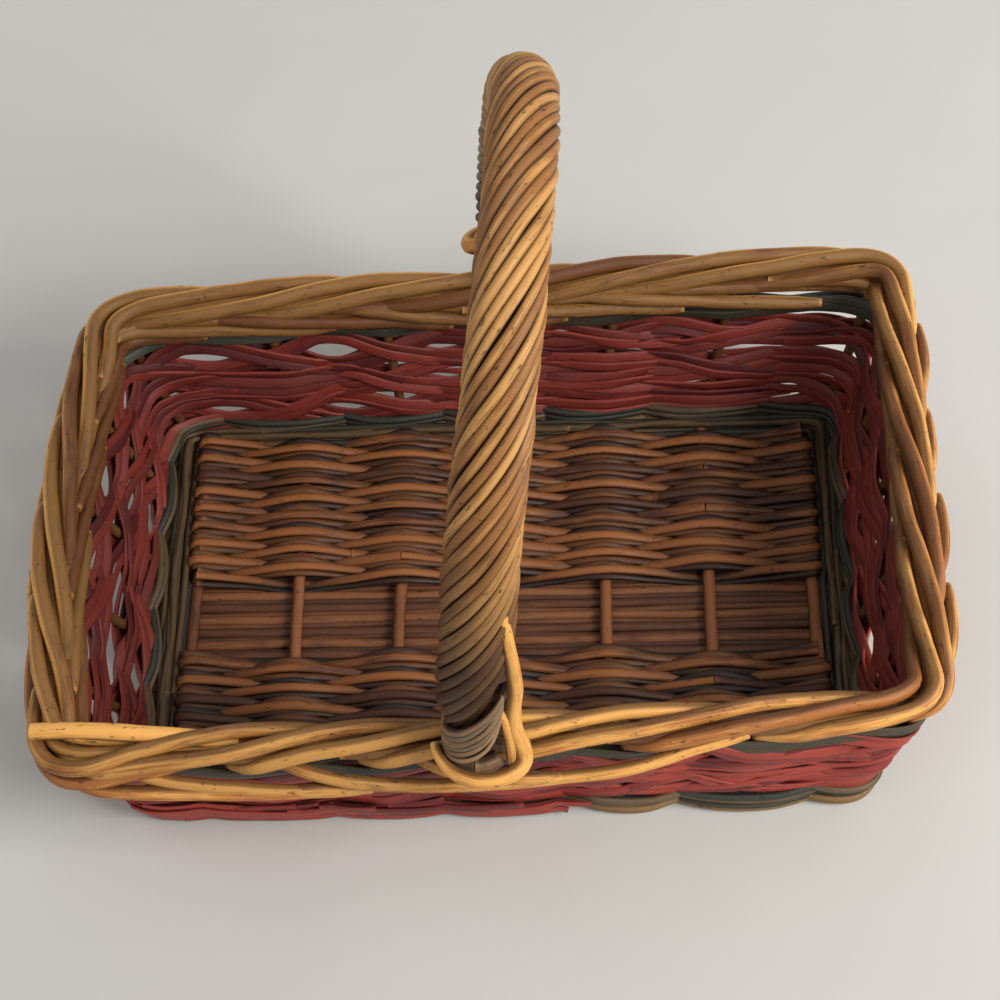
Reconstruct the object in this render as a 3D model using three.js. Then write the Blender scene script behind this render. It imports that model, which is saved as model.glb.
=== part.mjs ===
// Wicker harvest basket: an oblong willow basket with a fixed roped handle across its middle.
// Millimetres, +Z up, +X to the right, +Y to the back. The origin is on the ground, under the middle.
import * as THREE from "three";

// Clearances
const TOUCH = 0.3; // between two rods that lie against each other
const TURN_GAP = 0.5; // between two turns of one winding

// Base
const STICK_PITCH = 48.6;
const STICK_COUNT = 7;
const STICK_RADIUS = 2.9;
const BASE_WEAVER_RADIUS = 2.1; // a weaver's reach from its middle line up and down
const BASE_WEAVER = { depth: 3.0, height: 4.8 }; // its section: height lies along the base
const SLAT_RADIUS = 2.1;
const SLAT_PITCH = 6.6;
const SLAT_COUNT = 6;
const BACK_ROWS = 13;
const FRONT_ROWS = 10;
const BASE_HALF_WIDTH = 103; // front to back, at the line of the stakes
const CORNER_SPARE = 2; // the outer rows stay this much further in, clear of the round corners
const EDGE_STICK_CUT = 6; // the two edge sticks are cut this much shorter for the same reason

// Side
const FRONT_STAKES = 5; // on each long side, between the corner posts
const END_STAKES = 4; // on each short side, between the corner posts
const STAKE_RADIUS = 2.4;
const BASE_CORNER_ROUND = 0.3; // share of the steps next to a corner that its curve takes
const RIM_CORNER_ROUND = 0.5;
const CORNER_BULGE = 0.9; // how much further from a corner post the weavers pass
const WALE_RADIUS = 2.1;
const GREEN_BUNDLE = { depth: 3.0, height: 3.0 };
const RED_BUNDLE = { depth: 3.0, height: 8.7 };
const TOP_BUNDLE = { depth: 2.8, height: 4.6 };
const RED_ROWS = 3;
const FOOT_SPARE = 0.1; // the lowest rods stay this much off the ground
const RIM_SPARE = 1; // between the highest weavers and the plait

// Rim
const RIM_HALF_LENGTH = 185;
const RIM_HALF_WIDTH = 119;
const RIM_SKEW = 0.05; // the rim's long sides have turned this much, in mm per mm, over the base
const RIM_END_BULGE = 2.5;
const RIM_LEFT_BULGE = 10.5; // how much further than the right end the left one swells
const RIM_SIDE_BULGE = 2;
const BORDER_RADIUS = 3.45; // of the rods in the plait
const PLAIT_HALF_WIDTH = 10.6; // swing of a rod's middle to each side
const PLAIT_SPARE = 1.4; // extra rise, for the bends at the corners
// The way of one rim rod past its own stake and the next four, as [stakes passed, out, up], with out in
// shares of PLAIT_HALF_WIDTH and up in shares of PLAIT_HALF_HEIGHT: it comes up out of the side, crosses
// over the others to the inner edge, dives behind the third stake and ends low on the outer side.
const RIM_WAY = [
  [0, 0, -1.8],
  [0.16, 0.31, -0.6],
  [0.36, 0.28, 0.32],
  [0.7, 0.1, 0.85],
  [1.1, -0.1, 1.04],
  [1.55, -0.5, 1.04],
  [2, -0.88, 0.66],
  [2.4, -1, 0.06],
  [2.7, -0.92, -0.5],
  [3, -0.7, -0.9],
  [3.3, -0.2, -1.14],
  [3.6, 0.7, -1.25],
  [4, 1.12, -1.45],
  [4.5, 1.2, -1.95],
];
const RIM_STAKES = 4; // whole stakes that a rim rod passes
const RIM_TILT_RISE = 0.8; // the inner rods stand this much higher, because the side leans out

// Handle
const ARCH_RISE = 216; // from the plait's middle to the bow's middle at the top
const ARCH_LEAN = 18; // the top leans this far to the right
const LEAN_POWER = 1.8; // above 1, the lean comes mostly near the top
const ARCH_SQUARE = 2.3; // exponent of the arch's curve: 2 is an ellipse
const ARCH_STEPS = 44;
const FOOT_OUT = 2.6; // from the middle of the plait out to the middle of the handle's foot
const HANDLE_FOOT_RADIUS = 16.5;
const HANDLE_TOP_RADIUS = 14;
const WRAP_THICKNESS = 4.3;
const WRAP_BANDS = 4;
const RODS_PER_BAND = 4;
const WRAP_TURNS = 3.8;
const GROOVE_DEPTH = 1.3;
const CORE_SPARE = 1.2; // between the bow and the wrapping, whose flat faces reach further in
const LEG_RADIUS = 2.4; // of the bow's cut ends, pushed down beside the middle stakes
const LEG_TIP = 0.6; // a leg's lower end has this share of its radius
const LEG_FROM_STAKE = 0.125; // of the way to the next stake
const LEG_BULGE = 1.2; // how much further out the weavers pass at the bow's ends
const BINDING_RADIUS = 1.9;
const BINDING_TURNS = 4;
const BINDING_LIFT = 0.5; // of the lowest turn, over the highest rim rod
const WRAP_LIFT = 1.2; // of the wrapping's lower end, over the highest turn
const LOOP_RADIUS = 3.2;
const LOOP_LIFT = 0.4; // over the highest rim rod
const LOOP_RISE = 26;
// Where each foot's loop starts and how far it goes round, in half turns from the foot's right.
const LOOP_FRONT = { start: 0.28, sweep: 1.15 };
const LOOP_BACK = { start: 0, sweep: 0.75 };
const LOOP_FALL = 0.4; // share of the loop in which it comes down
const LOOP_FALL_POWER = 1.6;

const WOOD = {
  pale: [0.58, 0.38, 0.17],
  brown: [0.33, 0.17, 0.08],
  tan: [0.42, 0.27, 0.13],
  red: [0.36, 0.06, 0.06],
  slate: [0.13, 0.14, 0.12],
};

// Values that follow from the sizes above
const HEXAGON = 6; // sides of a plain rod's section
const EDGE_STICK_X = (STICK_PITCH * (STICK_COUNT - 1)) / 2;
const SLAT_FLAT = SLAT_RADIUS * Math.cos(Math.PI / HEXAGON); // from a slat's middle to its flat sides
const STICK_Z = 2 * SLAT_FLAT + TOUCH + STICK_RADIUS;
const ROW_SWING = STICK_RADIUS + BASE_WEAVER_RADIUS + TOUCH;
const wovenSwing = (halfDepth) => STAKE_RADIUS + halfDepth + TOUCH;
const WALE_SWING = wovenSwing(WALE_RADIUS);
const TURN_REACH = EDGE_STICK_X + STICK_RADIUS + TOUCH + 2 * BASE_WEAVER_RADIUS;
const BASE_HALF_LENGTH = TURN_REACH + TOUCH + WALE_RADIUS + WALE_SWING;
const ROWS_REACH =
  BASE_HALF_WIDTH -
  (WALE_SWING + WALE_RADIUS + TOUCH + BASE_WEAVER_RADIUS + CORNER_SPARE);
const PLAIT_HALF_HEIGHT = (2 * BORDER_RADIUS + TOUCH) / Math.sqrt(3) + PLAIT_SPARE;

const LONG_STEPS = FRONT_STAKES + 1;
const SHORT_STEPS = END_STAKES + 1;
const CORNERS = [
  0,
  LONG_STEPS,
  LONG_STEPS + SHORT_STEPS,
  2 * LONG_STEPS + SHORT_STEPS,
];
const STAKES = 2 * (LONG_STEPS + SHORT_STEPS);

// Rise of a weaver between two stakes, for sections 60 degrees apart in its turn.
const THIRD_PEAK = Math.sin(Math.PI / 3);
const flatRise = (bundle) => (bundle.height + TOUCH) / (2 * THIRD_PEAK);
const flatRowHalf = (bundle) => THIRD_PEAK * flatRise(bundle) + bundle.height / 2;
// Rise of a round rod with sections a quarter turn apart, so that the pair's straight runs stay clear.
const clearPair = WALE_RADIUS + TOUCH / 2;
const WALE_RISE =
  (clearPair * WALE_SWING) / Math.sqrt(WALE_SWING ** 2 - clearPair ** 2);
const WALE_HALF = WALE_RISE + WALE_RADIUS;

// Heights of the rows' middles, from the ground up
const WALE_Z = WALE_HALF + FOOT_SPARE;
const GREEN_Z = WALE_Z + WALE_HALF + TOUCH + flatRowHalf(GREEN_BUNDLE);
const RED_FIRST_Z =
  GREEN_Z + flatRowHalf(GREEN_BUNDLE) + TOUCH + flatRowHalf(RED_BUNDLE);
const RED_STEP_Z = 2 * flatRowHalf(RED_BUNDLE) + TOUCH;
const redZ = (row) => RED_FIRST_Z + row * RED_STEP_Z;
const TOP_Z =
  redZ(RED_ROWS - 1) + flatRowHalf(RED_BUNDLE) + TOUCH + flatRowHalf(TOP_BUNDLE);
const SIDE_TOP_Z = TOP_Z + flatRowHalf(TOP_BUNDLE);
const PLAIT_Z = SIDE_TOP_Z + TOUCH + BORDER_RADIUS + PLAIT_HALF_HEIGHT + RIM_SPARE;
const RIM_TOP = PLAIT_Z + PLAIT_HALF_HEIGHT + BORDER_RADIUS + RIM_TILT_RISE;

// The outline of the side, counted in stakes: 0 is the front left corner post, and it runs to the right.

function sidePoint(u, side) {
  const stakeStep = (STICK_PITCH * side.halfLength) / BASE_HALF_LENGTH;
  const inner = LONG_STEPS / 2 - 1;
  const corner = side.halfLength - inner * stakeStep;
  const bulge = (t, steps, size) => size * Math.sin((Math.PI * t) / steps);
  if (u < CORNERS[1]) {
    const t = u - LONG_STEPS / 2;
    const clamped = Math.min(Math.max(t, -inner), inner);
    const x = clamped * stakeStep + (t - clamped) * corner;
    return [x, -side.halfWidth - bulge(u, LONG_STEPS, side.sideBulge)];
  }
  if (u < CORNERS[2]) {
    const t = u - CORNERS[1];
    const x = side.halfLength + bulge(t, SHORT_STEPS, side.endBulge);
    return [x, side.halfWidth * ((2 * t) / SHORT_STEPS - 1)];
  }
  const [x, y] = sidePoint(u - CORNERS[2], side);
  const more = u > CORNERS[3] ? bulge(u - CORNERS[3], SHORT_STEPS, side.leftBulge) : 0;
  return [-x - more, -y];
}

function ring(u, side) {
  const wrapped = (v) => ((v % STAKES) + STAKES) % STAKES;
  const at = (v) => sidePoint(wrapped(v), side);
  const round = side.cornerRound;
  for (const corner of [...CORNERS, STAKES]) {
    const off = wrapped(u) - corner;
    if (Math.abs(off) < round) {
      const [from, tip, to] = [at(corner - round), at(corner), at(corner + round)];
      const t = (off + round) / (2 * round);
      return [0, 1].map(
        (k) => (1 - t) ** 2 * from[k] + 2 * t * (1 - t) * tip[k] + t ** 2 * to[k],
      );
    }
  }
  return at(u);
}

const BASE_SIDE = {
  halfLength: BASE_HALF_LENGTH,
  halfWidth: BASE_HALF_WIDTH,
  endBulge: 0,
  leftBulge: 0,
  sideBulge: 0,
  cornerRound: BASE_CORNER_ROUND,
};
const RIM_SIDE = {
  halfLength: RIM_HALF_LENGTH,
  halfWidth: RIM_HALF_WIDTH,
  endBulge: RIM_END_BULGE,
  leftBulge: RIM_LEFT_BULGE,
  sideBulge: RIM_SIDE_BULGE,
  cornerRound: RIM_CORNER_ROUND,
};

// The middle of the side's thickness at u, at the height z: each u is a straight line from base to rim.
function sideLine(u, z) {
  const share = z / PLAIT_Z;
  const low = ring(u, BASE_SIDE);
  const high = ring(u, RIM_SIDE);
  high[1] += RIM_SKEW * high[0];
  return new THREE.Vector3(
    low[0] + (high[0] - low[0]) * share,
    low[1] + (high[1] - low[1]) * share,
    z,
  );
}

// The directions out of the side and up it at u, z.
function sideFrame(u, z) {
  const near = 0.02;
  const along = sideLine(u + near, z).sub(sideLine(u - near, z)).normalize();
  const rise = sideLine(u, z + 1).sub(sideLine(u, z - 1));
  const out = along.clone().cross(rise).normalize();
  return { out, up: out.clone().cross(along) };
}

const wall = (u, z, out = 0) =>
  sideLine(u, z).addScaledVector(sideFrame(u, z).out, out);

// Sweeps a section, a list of [a, b], along points. frame(i) gives the directions of a and b.
function sweep(points, frame, section, closed) {
  const rings = points.map((point, i) => {
    const [a, b] = frame(i);
    const here = typeof section === "function" ? section(i) : section;
    return here.map(([p, q]) =>
      point.clone().addScaledVector(a, p).addScaledVector(b, q),
    );
  });
  const sides = rings[0].length;
  const position = rings.flat().flatMap((v) => [v.x, v.y, v.z]);
  const index = [];
  const spans = closed ? rings.length : rings.length - 1;
  for (let i = 0; i < spans; i++) {
    const [low, high] = [i * sides, ((i + 1) % rings.length) * sides];
    for (let j = 0; j < sides; j++) {
      const k = (j + 1) % sides;
      index.push(low + j, low + k, high + k, low + j, high + k, high + j);
    }
  }
  if (!closed) {
    const flat = rings.length - 1;
    const [a, b] = [0, flat].map((i) => {
      const here = typeof section === "function" ? section(i) : section;
      return THREE.ShapeUtils.triangulateShape(
        here.map(([p, q]) => new THREE.Vector2(p, q)),
        [],
      );
    });
    for (const [i, j, k] of a) index.push(i, k, j);
    for (const [i, j, k] of b)
      index.push(flat * sides + i, flat * sides + j, flat * sides + k);
  }
  return new THREE.BufferGeometry()
    .setAttribute("position", new THREE.Float32BufferAttribute(position, 3))
    .setIndex(index);
}

const round = (radius, sides, turn = 0) =>
  Array.from({ length: sides }, (_, i) => {
    const angle = turn + (2 * Math.PI * i) / sides;
    return [radius * Math.cos(angle), radius * Math.sin(angle)];
  });

const flat = ({ depth, height }) => [
  [-height / 2, -depth / 2],
  [height / 2, -depth / 2],
  [height / 2, depth / 2],
  [-height / 2, depth / 2],
];

// Directions square to the path at point i, the first of them near the given one.
function squareTo(points, i, near, closed = false) {
  const n = points.length;
  const before = closed ? points[(i + n - 1) % n] : points[Math.max(i - 1, 0)];
  const after = closed ? points[(i + 1) % n] : points[Math.min(i + 1, n - 1)];
  const along = after.clone().sub(before).normalize();
  const a = near.clone().addScaledVector(along, -near.dot(along)).normalize();
  return [a, along.clone().cross(a)];
}

// Weavers: two rods or bundles that twine round each other, one before and one behind each stake.

const HANDLE_STAKES = [LONG_STEPS / 2, LONG_STEPS / 2 + CORNERS[2]];
const NEAR_HANDLE = 0.7; // stakes to each side of a handle's end

function weaverBulge(u) {
  if (CORNERS.includes(u)) return CORNER_BULGE;
  return HANDLE_STAKES.some((middle) => Math.abs(u - middle) < NEAR_HANDLE) ? LEG_BULGE : 0;
}

function weaver({ z, swing, rise, perStake, partner, slant, section }) {
  const points = [];
  const frames = [];
  for (let i = 0; i < STAKES * perStake; i++) {
    const u = i / perStake;
    const turn = Math.PI * (u + partner);
    const reach = (swing + weaverBulge(u)) * Math.cos(turn);
    const height = slant * rise * Math.sin(turn);
    const { out, up } = sideFrame(u, z);
    points.push(
      sideLine(u, z).addScaledVector(out, reach).addScaledVector(up, height),
    );
    frames.push([up, out]);
  }
  return sweep(points, (i) => frames[i], section, true);
}

const flatWeaver = (bundle, z, partner, slant) =>
  weaver({
    z,
    swing: wovenSwing(bundle.depth / 2),
    rise: flatRise(bundle),
    perStake: 3,
    partner,
    slant,
    section: flat(bundle),
  });

const waleRod = (partner) =>
  weaver({
    z: WALE_Z,
    swing: WALE_SWING,
    rise: WALE_RISE,
    perStake: 2,
    partner,
    slant: 1,
    section: round(WALE_RADIUS, HEXAGON),
  });

// Stakes: each stands in the side and then runs along the rim as one rod of the plait.

const NECK_BELOW = 3; // a stake starts to bend this much below the top of the weaving

function stake(number) {
  const foot = STICK_Z - STICK_RADIUS;
  const neck = SIDE_TOP_Z - NECK_BELOW;
  const upright = [foot, PLAIT_Z / 2, neck].map((z) => [0, z, 0, STAKE_RADIUS]);
  // A rod whose tail would cross the handle's foot or a corner ends before it.
  const last = (number + RIM_STAKES) % STAKES;
  const makesRoom = [...HANDLE_STAKES, ...CORNERS].includes(last);
  const way = RIM_WAY.filter(([passed]) => !makesRoom || passed < RIM_STAKES);
  const rod = way.map(([passed, out, up], i) => [
    passed,
    PLAIT_Z + up * PLAIT_HALF_HEIGHT,
    out * PLAIT_HALF_WIDTH,
    i === 0 ? STAKE_RADIUS : BORDER_RADIUS,
  ]);
  const places = [...upright, ...rod];
  const points = places.map(([du, z, out]) => wall(number + du, z, out));
  return sweep(
    points,
    (i) => squareTo(points, i, sideFrame(number + places[i][0], PLAIT_Z).out),
    (i) => round(places[i][3], HEXAGON, Math.PI / HEXAGON),
    false,
  );
}

// Base: sticks from front to back, weavers that turn round the edge sticks, and slats under the sticks.

const baseRows = BACK_ROWS + FRONT_ROWS;
const rowStep =
  (2 * ROWS_REACH - (SLAT_COUNT - 1) * SLAT_PITCH) / baseRows;
const frontEdge = -ROWS_REACH;
const slatEdge = frontEdge + FRONT_ROWS * rowStep;
const backEdge = slatEdge + (SLAT_COUNT - 1) * SLAT_PITCH + rowStep;

function straightRod(from, to, radius, sides, turn = 0) {
  const points = [from, to];
  const near = new THREE.Vector3(0, 0, 1);
  return sweep(
    points,
    (i) => squareTo(points, i, near),
    round(radius, sides, turn),
    false,
  );
}

function baseWeaver(firstY, rows) {
  const points = [];
  const nears = [];
  const eighth = Math.PI / 4;
  const turnReach = ROW_SWING / Math.cos(eighth / 2);
  for (let row = 0; row < rows; row++) {
    const y = firstY + row * rowStep;
    const toRight = row % 2 === 0 ? 1 : -1;
    for (let k = 0; k < STICK_COUNT; k++) {
      const over = (row + k) % 2 === 0 ? 1 : -1;
      const x = toRight * (k * STICK_PITCH - EDGE_STICK_X);
      points.push(new THREE.Vector3(x, y, STICK_Z + over * ROW_SWING));
      nears.push(new THREE.Vector3(0, 0, toRight));
    }
    if (row === rows - 1) break;
    // Round the edge stick into the next row.
    for (const part of [1, 2, 3]) {
      const near = new THREE.Vector3(
        toRight * Math.sin(part * eighth),
        0,
        toRight * Math.cos(part * eighth),
      );
      const edge = new THREE.Vector3(
        toRight * EDGE_STICK_X,
        y + (part / 4) * rowStep,
        STICK_Z,
      );
      const reach = part === 2 ? ROW_SWING : turnReach;
      points.push(edge.addScaledVector(near, reach));
      nears.push(near);
    }
  }
  return sweep(
    points,
    (i) => squareTo(points, i, nears[i]),
    flat({ depth: BASE_WEAVER.height, height: BASE_WEAVER.depth }),
    false,
  );
}

// Handle: a bow whose cut ends stand in the side, four bands of rods twisted round it, and its lashings.

const FRONT_LEG_U = LONG_STEPS / 2 - LEG_FROM_STAKE;
const BACK_LEG_U = FRONT_LEG_U + CORNERS[2];
const legOut = BORDER_RADIUS + TOUCH + LEG_RADIUS; // outside the rim rod that lies on top there
const frontFoot = wall(FRONT_LEG_U, PLAIT_Z, FOOT_OUT);
const backFoot = wall(BACK_LEG_U, PLAIT_Z, FOOT_OUT);

// The bow's middle line above the plait: t runs from 0 at the front foot to 1 at the back foot.
function arch(t) {
  const angle = Math.PI * t;
  const power = 2 / ARCH_SQUARE;
  const across = -Math.sign(Math.cos(angle)) * Math.abs(Math.cos(angle)) ** power;
  const up = Math.sin(angle) ** power;
  return new THREE.Vector3(
    frontFoot.x + ((backFoot.x - frontFoot.x) * (across + 1)) / 2 + ARCH_LEAN * up ** LEAN_POWER,
    frontFoot.y + ((backFoot.y - frontFoot.y) * (across + 1)) / 2,
    PLAIT_Z + ARCH_RISE * up,
  );
}

// Evenly spaced points of the arch between two heights above its feet.
function archPoints(fromZ, steps) {
  const fine = 2000;
  const all = Array.from({ length: fine + 1 }, (_, i) => arch(i / fine));
  const first = all.findIndex((p) => p.z >= fromZ);
  const used = all.slice(first, all.length - first);
  const lengths = [0];
  for (let i = 1; i < used.length; i++)
    lengths.push(lengths[i - 1] + used[i].distanceTo(used[i - 1]));
  const total = lengths[lengths.length - 1];
  return Array.from({ length: steps + 1 }, (_, i) => {
    const want = (total * i) / steps;
    const k = Math.min(
      lengths.findIndex((l) => l >= want - 1e-6),
      used.length - 1,
    );
    if (k < 1) return used[0].clone();
    const share = (want - lengths[k - 1]) / (lengths[k] - lengths[k - 1]);
    return used[k - 1].clone().lerp(used[k], share);
  });
}

const handleRadius = (z) => {
  const share = Math.max(0, Math.min(1, (z - PLAIT_Z) / ARCH_RISE));
  return HANDLE_FOOT_RADIUS + (HANDLE_TOP_RADIUS - HANDLE_FOOT_RADIUS) * share;
};
const coreRadius = (z) => handleRadius(z) - WRAP_THICKNESS - CORE_SPARE;
const toSide = new THREE.Vector3(1, 0, 0);
const HANDLE_CORE_HALF_SIDES = 5;

const BINDING_STEP = 2 * BINDING_RADIUS + TURN_GAP;
const BINDING_LOW = RIM_TOP + TOUCH + BINDING_RADIUS + BINDING_LIFT;
const BINDING_HIGH = BINDING_LOW + BINDING_TURNS * BINDING_STEP;
const WRAP_LOW = BINDING_HIGH + BINDING_RADIUS + WRAP_LIFT;

function bow() {
  const legs = (u) => [
    [wall(u, STICK_Z + STICK_RADIUS), LEG_RADIUS * LEG_TIP],
    [wall(u, SIDE_TOP_Z), LEG_RADIUS],
    [wall(u, PLAIT_Z - PLAIT_HALF_HEIGHT, legOut), LEG_RADIUS],
    [wall(u, RIM_TOP + TOUCH, legOut), LEG_RADIUS],
  ];
  const wrapped = archPoints(WRAP_LOW, ARCH_STEPS);
  const low = archPoints(BINDING_LOW, 1);
  const over = [low[0], ...wrapped, low[1]].map((p) => [p, coreRadius(p.z)]);
  const all = [...legs(FRONT_LEG_U), ...over, ...legs(BACK_LEG_U).reverse()];
  const points = all.map(([p]) => p);
  return sweep(
    points,
    (i) => squareTo(points, i, toSide),
    (i) => round(all[i][1], 2 * HANDLE_CORE_HALF_SIDES),
    false,
  );
}

function wrapBand(number) {
  const points = archPoints(WRAP_LOW, ARCH_STEPS);
  const wide = (2 * Math.PI) / WRAP_BANDS;
  const section = (i) => {
    const outer = handleRadius(points[i].z);
    const inner = outer - WRAP_THICKNESS;
    const half = wide / 2 - TURN_GAP / 2 / inner;
    const middle =
      wide * number + (2 * Math.PI * WRAP_TURNS * i) / (points.length - 1);
    const corners = [];
    for (let k = 0; k <= 2 * RODS_PER_BAND; k++) {
      const angle = middle - half + (k * half) / RODS_PER_BAND;
      const radius = k % 2 ? outer : outer - GROOVE_DEPTH;
      corners.push([radius * Math.cos(angle), radius * Math.sin(angle)]);
    }
    const inside = 3;
    for (let k = 0; k < inside; k++) {
      const angle = middle + half - (k * 2 * half) / (inside - 1);
      corners.push([inner * Math.cos(angle), inner * Math.sin(angle)]);
    }
    return corners;
  };
  return sweep(points, (i) => squareTo(points, i, toSide), section, false);
}

// The foot of the handle's middle line at a height, and the two level directions there.
function footMiddle(back, z) {
  const over = archPoints(RIM_TOP, 200);
  const side = back ? over.slice().reverse() : over;
  const k = side.findIndex((p) => p.z >= z);
  return side[Math.max(k, 0)];
}

function bindingLine(back) {
  const perTurn = 16;
  const from = back ? Math.PI : 0;
  return Array.from({ length: BINDING_TURNS * perTurn + 1 }, (_, i) => {
    const turn = i / perTurn;
    const z = BINDING_LOW + turn * BINDING_STEP;
    const middle = footMiddle(back, z);
    const reach = handleRadius(z) - BINDING_RADIUS;
    const angle = from + 2 * Math.PI * turn;
    return new THREE.Vector3(
      middle.x + reach * Math.cos(angle),
      middle.y + reach * Math.sin(angle),
      z,
    );
  });
}

function binding(back) {
  const points = bindingLine(back);
  const up = new THREE.Vector3(0, 0, 1);
  return sweep(
    points,
    (i) => squareTo(points, i, up),
    round(BINDING_RADIUS, 5),
    false,
  );
}

// A rod end that leaves the wrapping, runs down beside the foot and round its outer side.
function footLoop(back) {
  const side = back ? -1 : 1;
  const { start, sweep: turned } = back ? LOOP_BACK : LOOP_FRONT;
  const low = RIM_TOP + TOUCH + LOOP_RADIUS + LOOP_LIFT;
  const steps = 14;
  const points = Array.from({ length: steps + 1 }, (_, i) => {
    const share = i / steps;
    const angle = Math.PI * (start - turned * share);
    const fall = Math.max(0, 1 - share / LOOP_FALL);
    const z = low + LOOP_RISE * fall ** LOOP_FALL_POWER;
    const middle = footMiddle(back, z);
    const reach = handleRadius(z) + LOOP_RADIUS + TOUCH;
    return new THREE.Vector3(
      middle.x + side * reach * Math.cos(angle),
      middle.y + side * reach * Math.sin(angle),
      z,
    );
  });
  const up = new THREE.Vector3(0, 0, 1);
  return sweep(
    points,
    (i) => squareTo(points, i, up),
    round(LOOP_RADIUS, HEXAGON),
    false,
  );
}

// The smallest gap between stretches of one winding that are at least apart steps from each other.
function leastGap(points, diameter, apart) {
  let least = Infinity;
  for (let i = 0; i < points.length; i++)
    for (let j = i + apart; j < points.length; j++)
      least = Math.min(least, points[i].distanceTo(points[j]));
  return least - diameter;
}

// Assembly

const basket = new THREE.Group();

function add(name, geometry, colour, roughness = 0.6) {
  const material = new THREE.MeshStandardMaterial({
    color: new THREE.Color(...colour),
    roughness,
    metalness: 0,
  });
  const mesh = new THREE.Mesh(geometry, material);
  mesh.name = name;
  basket.add(mesh);
}

const stickEnd = BASE_HALF_WIDTH - WALE_SWING - WALE_RADIUS - TOUCH;
for (let k = 0; k < STICK_COUNT; k++) {
  const x = k * STICK_PITCH - EDGE_STICK_X;
  const cut = k % (STICK_COUNT - 1) === 0 ? EDGE_STICK_CUT : 0;
  const reach = stickEnd - cut;
  const ends = [-reach, reach].map((y) => new THREE.Vector3(x, y, STICK_Z));
  add(`base_stick_${k + 1}`, straightRod(...ends, STICK_RADIUS, 8), WOOD.brown);
}
add("base_weaver_front", baseWeaver(frontEdge, FRONT_ROWS), WOOD.brown);
add("base_weaver_back", baseWeaver(backEdge, BACK_ROWS), WOOD.brown);
for (let k = 0; k < SLAT_COUNT; k++) {
  const y = slatEdge + k * SLAT_PITCH;
  const ends = [-1, 1].map(
    (s) => new THREE.Vector3(s * (EDGE_STICK_X + STICK_RADIUS), y, SLAT_FLAT),
  );
  const slat = straightRod(...ends, SLAT_RADIUS, HEXAGON, Math.PI / HEXAGON);
  add(`base_slat_${k + 1}`, slat, WOOD.brown);
}

for (const [letter, partner] of [
  ["a", 0],
  ["b", 1],
]) {
  add(`foot_wale_${letter}`, waleRod(partner), WOOD.tan);
  add(
    `lower_green_${letter}`,
    flatWeaver(GREEN_BUNDLE, GREEN_Z, partner, -1),
    WOOD.slate,
  );
  for (let row = 0; row < RED_ROWS; row++)
    add(
      `red_weaver_${row + 1}${letter}`,
      flatWeaver(RED_BUNDLE, redZ(row), partner, row % 2 ? -1 : 1),
      WOOD.red,
    );
  add(
    `upper_green_${letter}`,
    flatWeaver(TOP_BUNDLE, TOP_Z, partner, -1),
    WOOD.slate,
  );
}

for (let k = 0; k < STAKES; k++) {
  const corner = CORNERS.indexOf(k);
  const name =
    corner >= 0
      ? `corner_post_${["front_left", "front_right", "back_right", "back_left"][corner]}`
      : `stake_${String(k).padStart(2, "0")}`;
  add(name, stake(k), WOOD.pale);
}

add("handle_bow", bow(), WOOD.brown);
for (let k = 0; k < WRAP_BANDS; k++)
  add(`handle_wrap_${k + 1}`, wrapBand(k), WOOD.pale);
for (const back of [false, true]) {
  const place = back ? "back" : "front";
  add(`foot_binding_${place}`, binding(back), WOOD.tan);
  add(`foot_loop_${place}`, footLoop(back), WOOD.pale);
  const gap = leastGap(bindingLine(back), 2 * BINDING_RADIUS, 8);
  console.log(`foot_binding_${place} least gap to itself ${gap.toFixed(2)} mm`);
}

// The origin goes to the middle of the footprint, on the ground.
const box = new THREE.Box3().setFromObject(basket);
const middle = box.getCenter(new THREE.Vector3());
basket.position.set(-middle.x, -middle.y, -box.min.z);

export default basket;
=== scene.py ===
"""Wicker harvest basket: willow rods, dyed straps and a roped handle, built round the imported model."""

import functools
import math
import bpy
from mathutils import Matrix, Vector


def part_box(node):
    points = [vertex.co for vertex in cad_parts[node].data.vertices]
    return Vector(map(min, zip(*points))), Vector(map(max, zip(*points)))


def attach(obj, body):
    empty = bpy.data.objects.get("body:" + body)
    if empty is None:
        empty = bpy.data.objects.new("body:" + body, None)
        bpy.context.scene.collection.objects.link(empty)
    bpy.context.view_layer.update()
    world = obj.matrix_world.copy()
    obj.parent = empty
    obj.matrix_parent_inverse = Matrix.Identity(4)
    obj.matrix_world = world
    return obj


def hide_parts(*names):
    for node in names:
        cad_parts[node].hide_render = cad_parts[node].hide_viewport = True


bl_info = {
    "name": "Wicker Harvest Basket",
    "version": (1, 0, 0),
    "blender": (4, 5, 0),
    "location": "View3D > Sidebar > Basket",
    "description": "Builds an oblong willow basket rod by rod, with its finishes and its stage",
    "category": "Add Mesh",
}

import bpy
import numpy as np
from mathutils import Matrix, Vector

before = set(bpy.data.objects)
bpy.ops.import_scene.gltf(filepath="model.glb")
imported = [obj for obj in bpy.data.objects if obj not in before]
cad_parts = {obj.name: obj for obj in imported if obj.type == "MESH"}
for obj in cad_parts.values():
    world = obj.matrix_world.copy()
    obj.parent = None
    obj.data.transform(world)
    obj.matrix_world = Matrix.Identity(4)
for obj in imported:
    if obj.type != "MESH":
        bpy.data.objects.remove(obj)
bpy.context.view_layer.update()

METRE = 0.001  # every size below is in millimetres, and meshes are in metres

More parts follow.
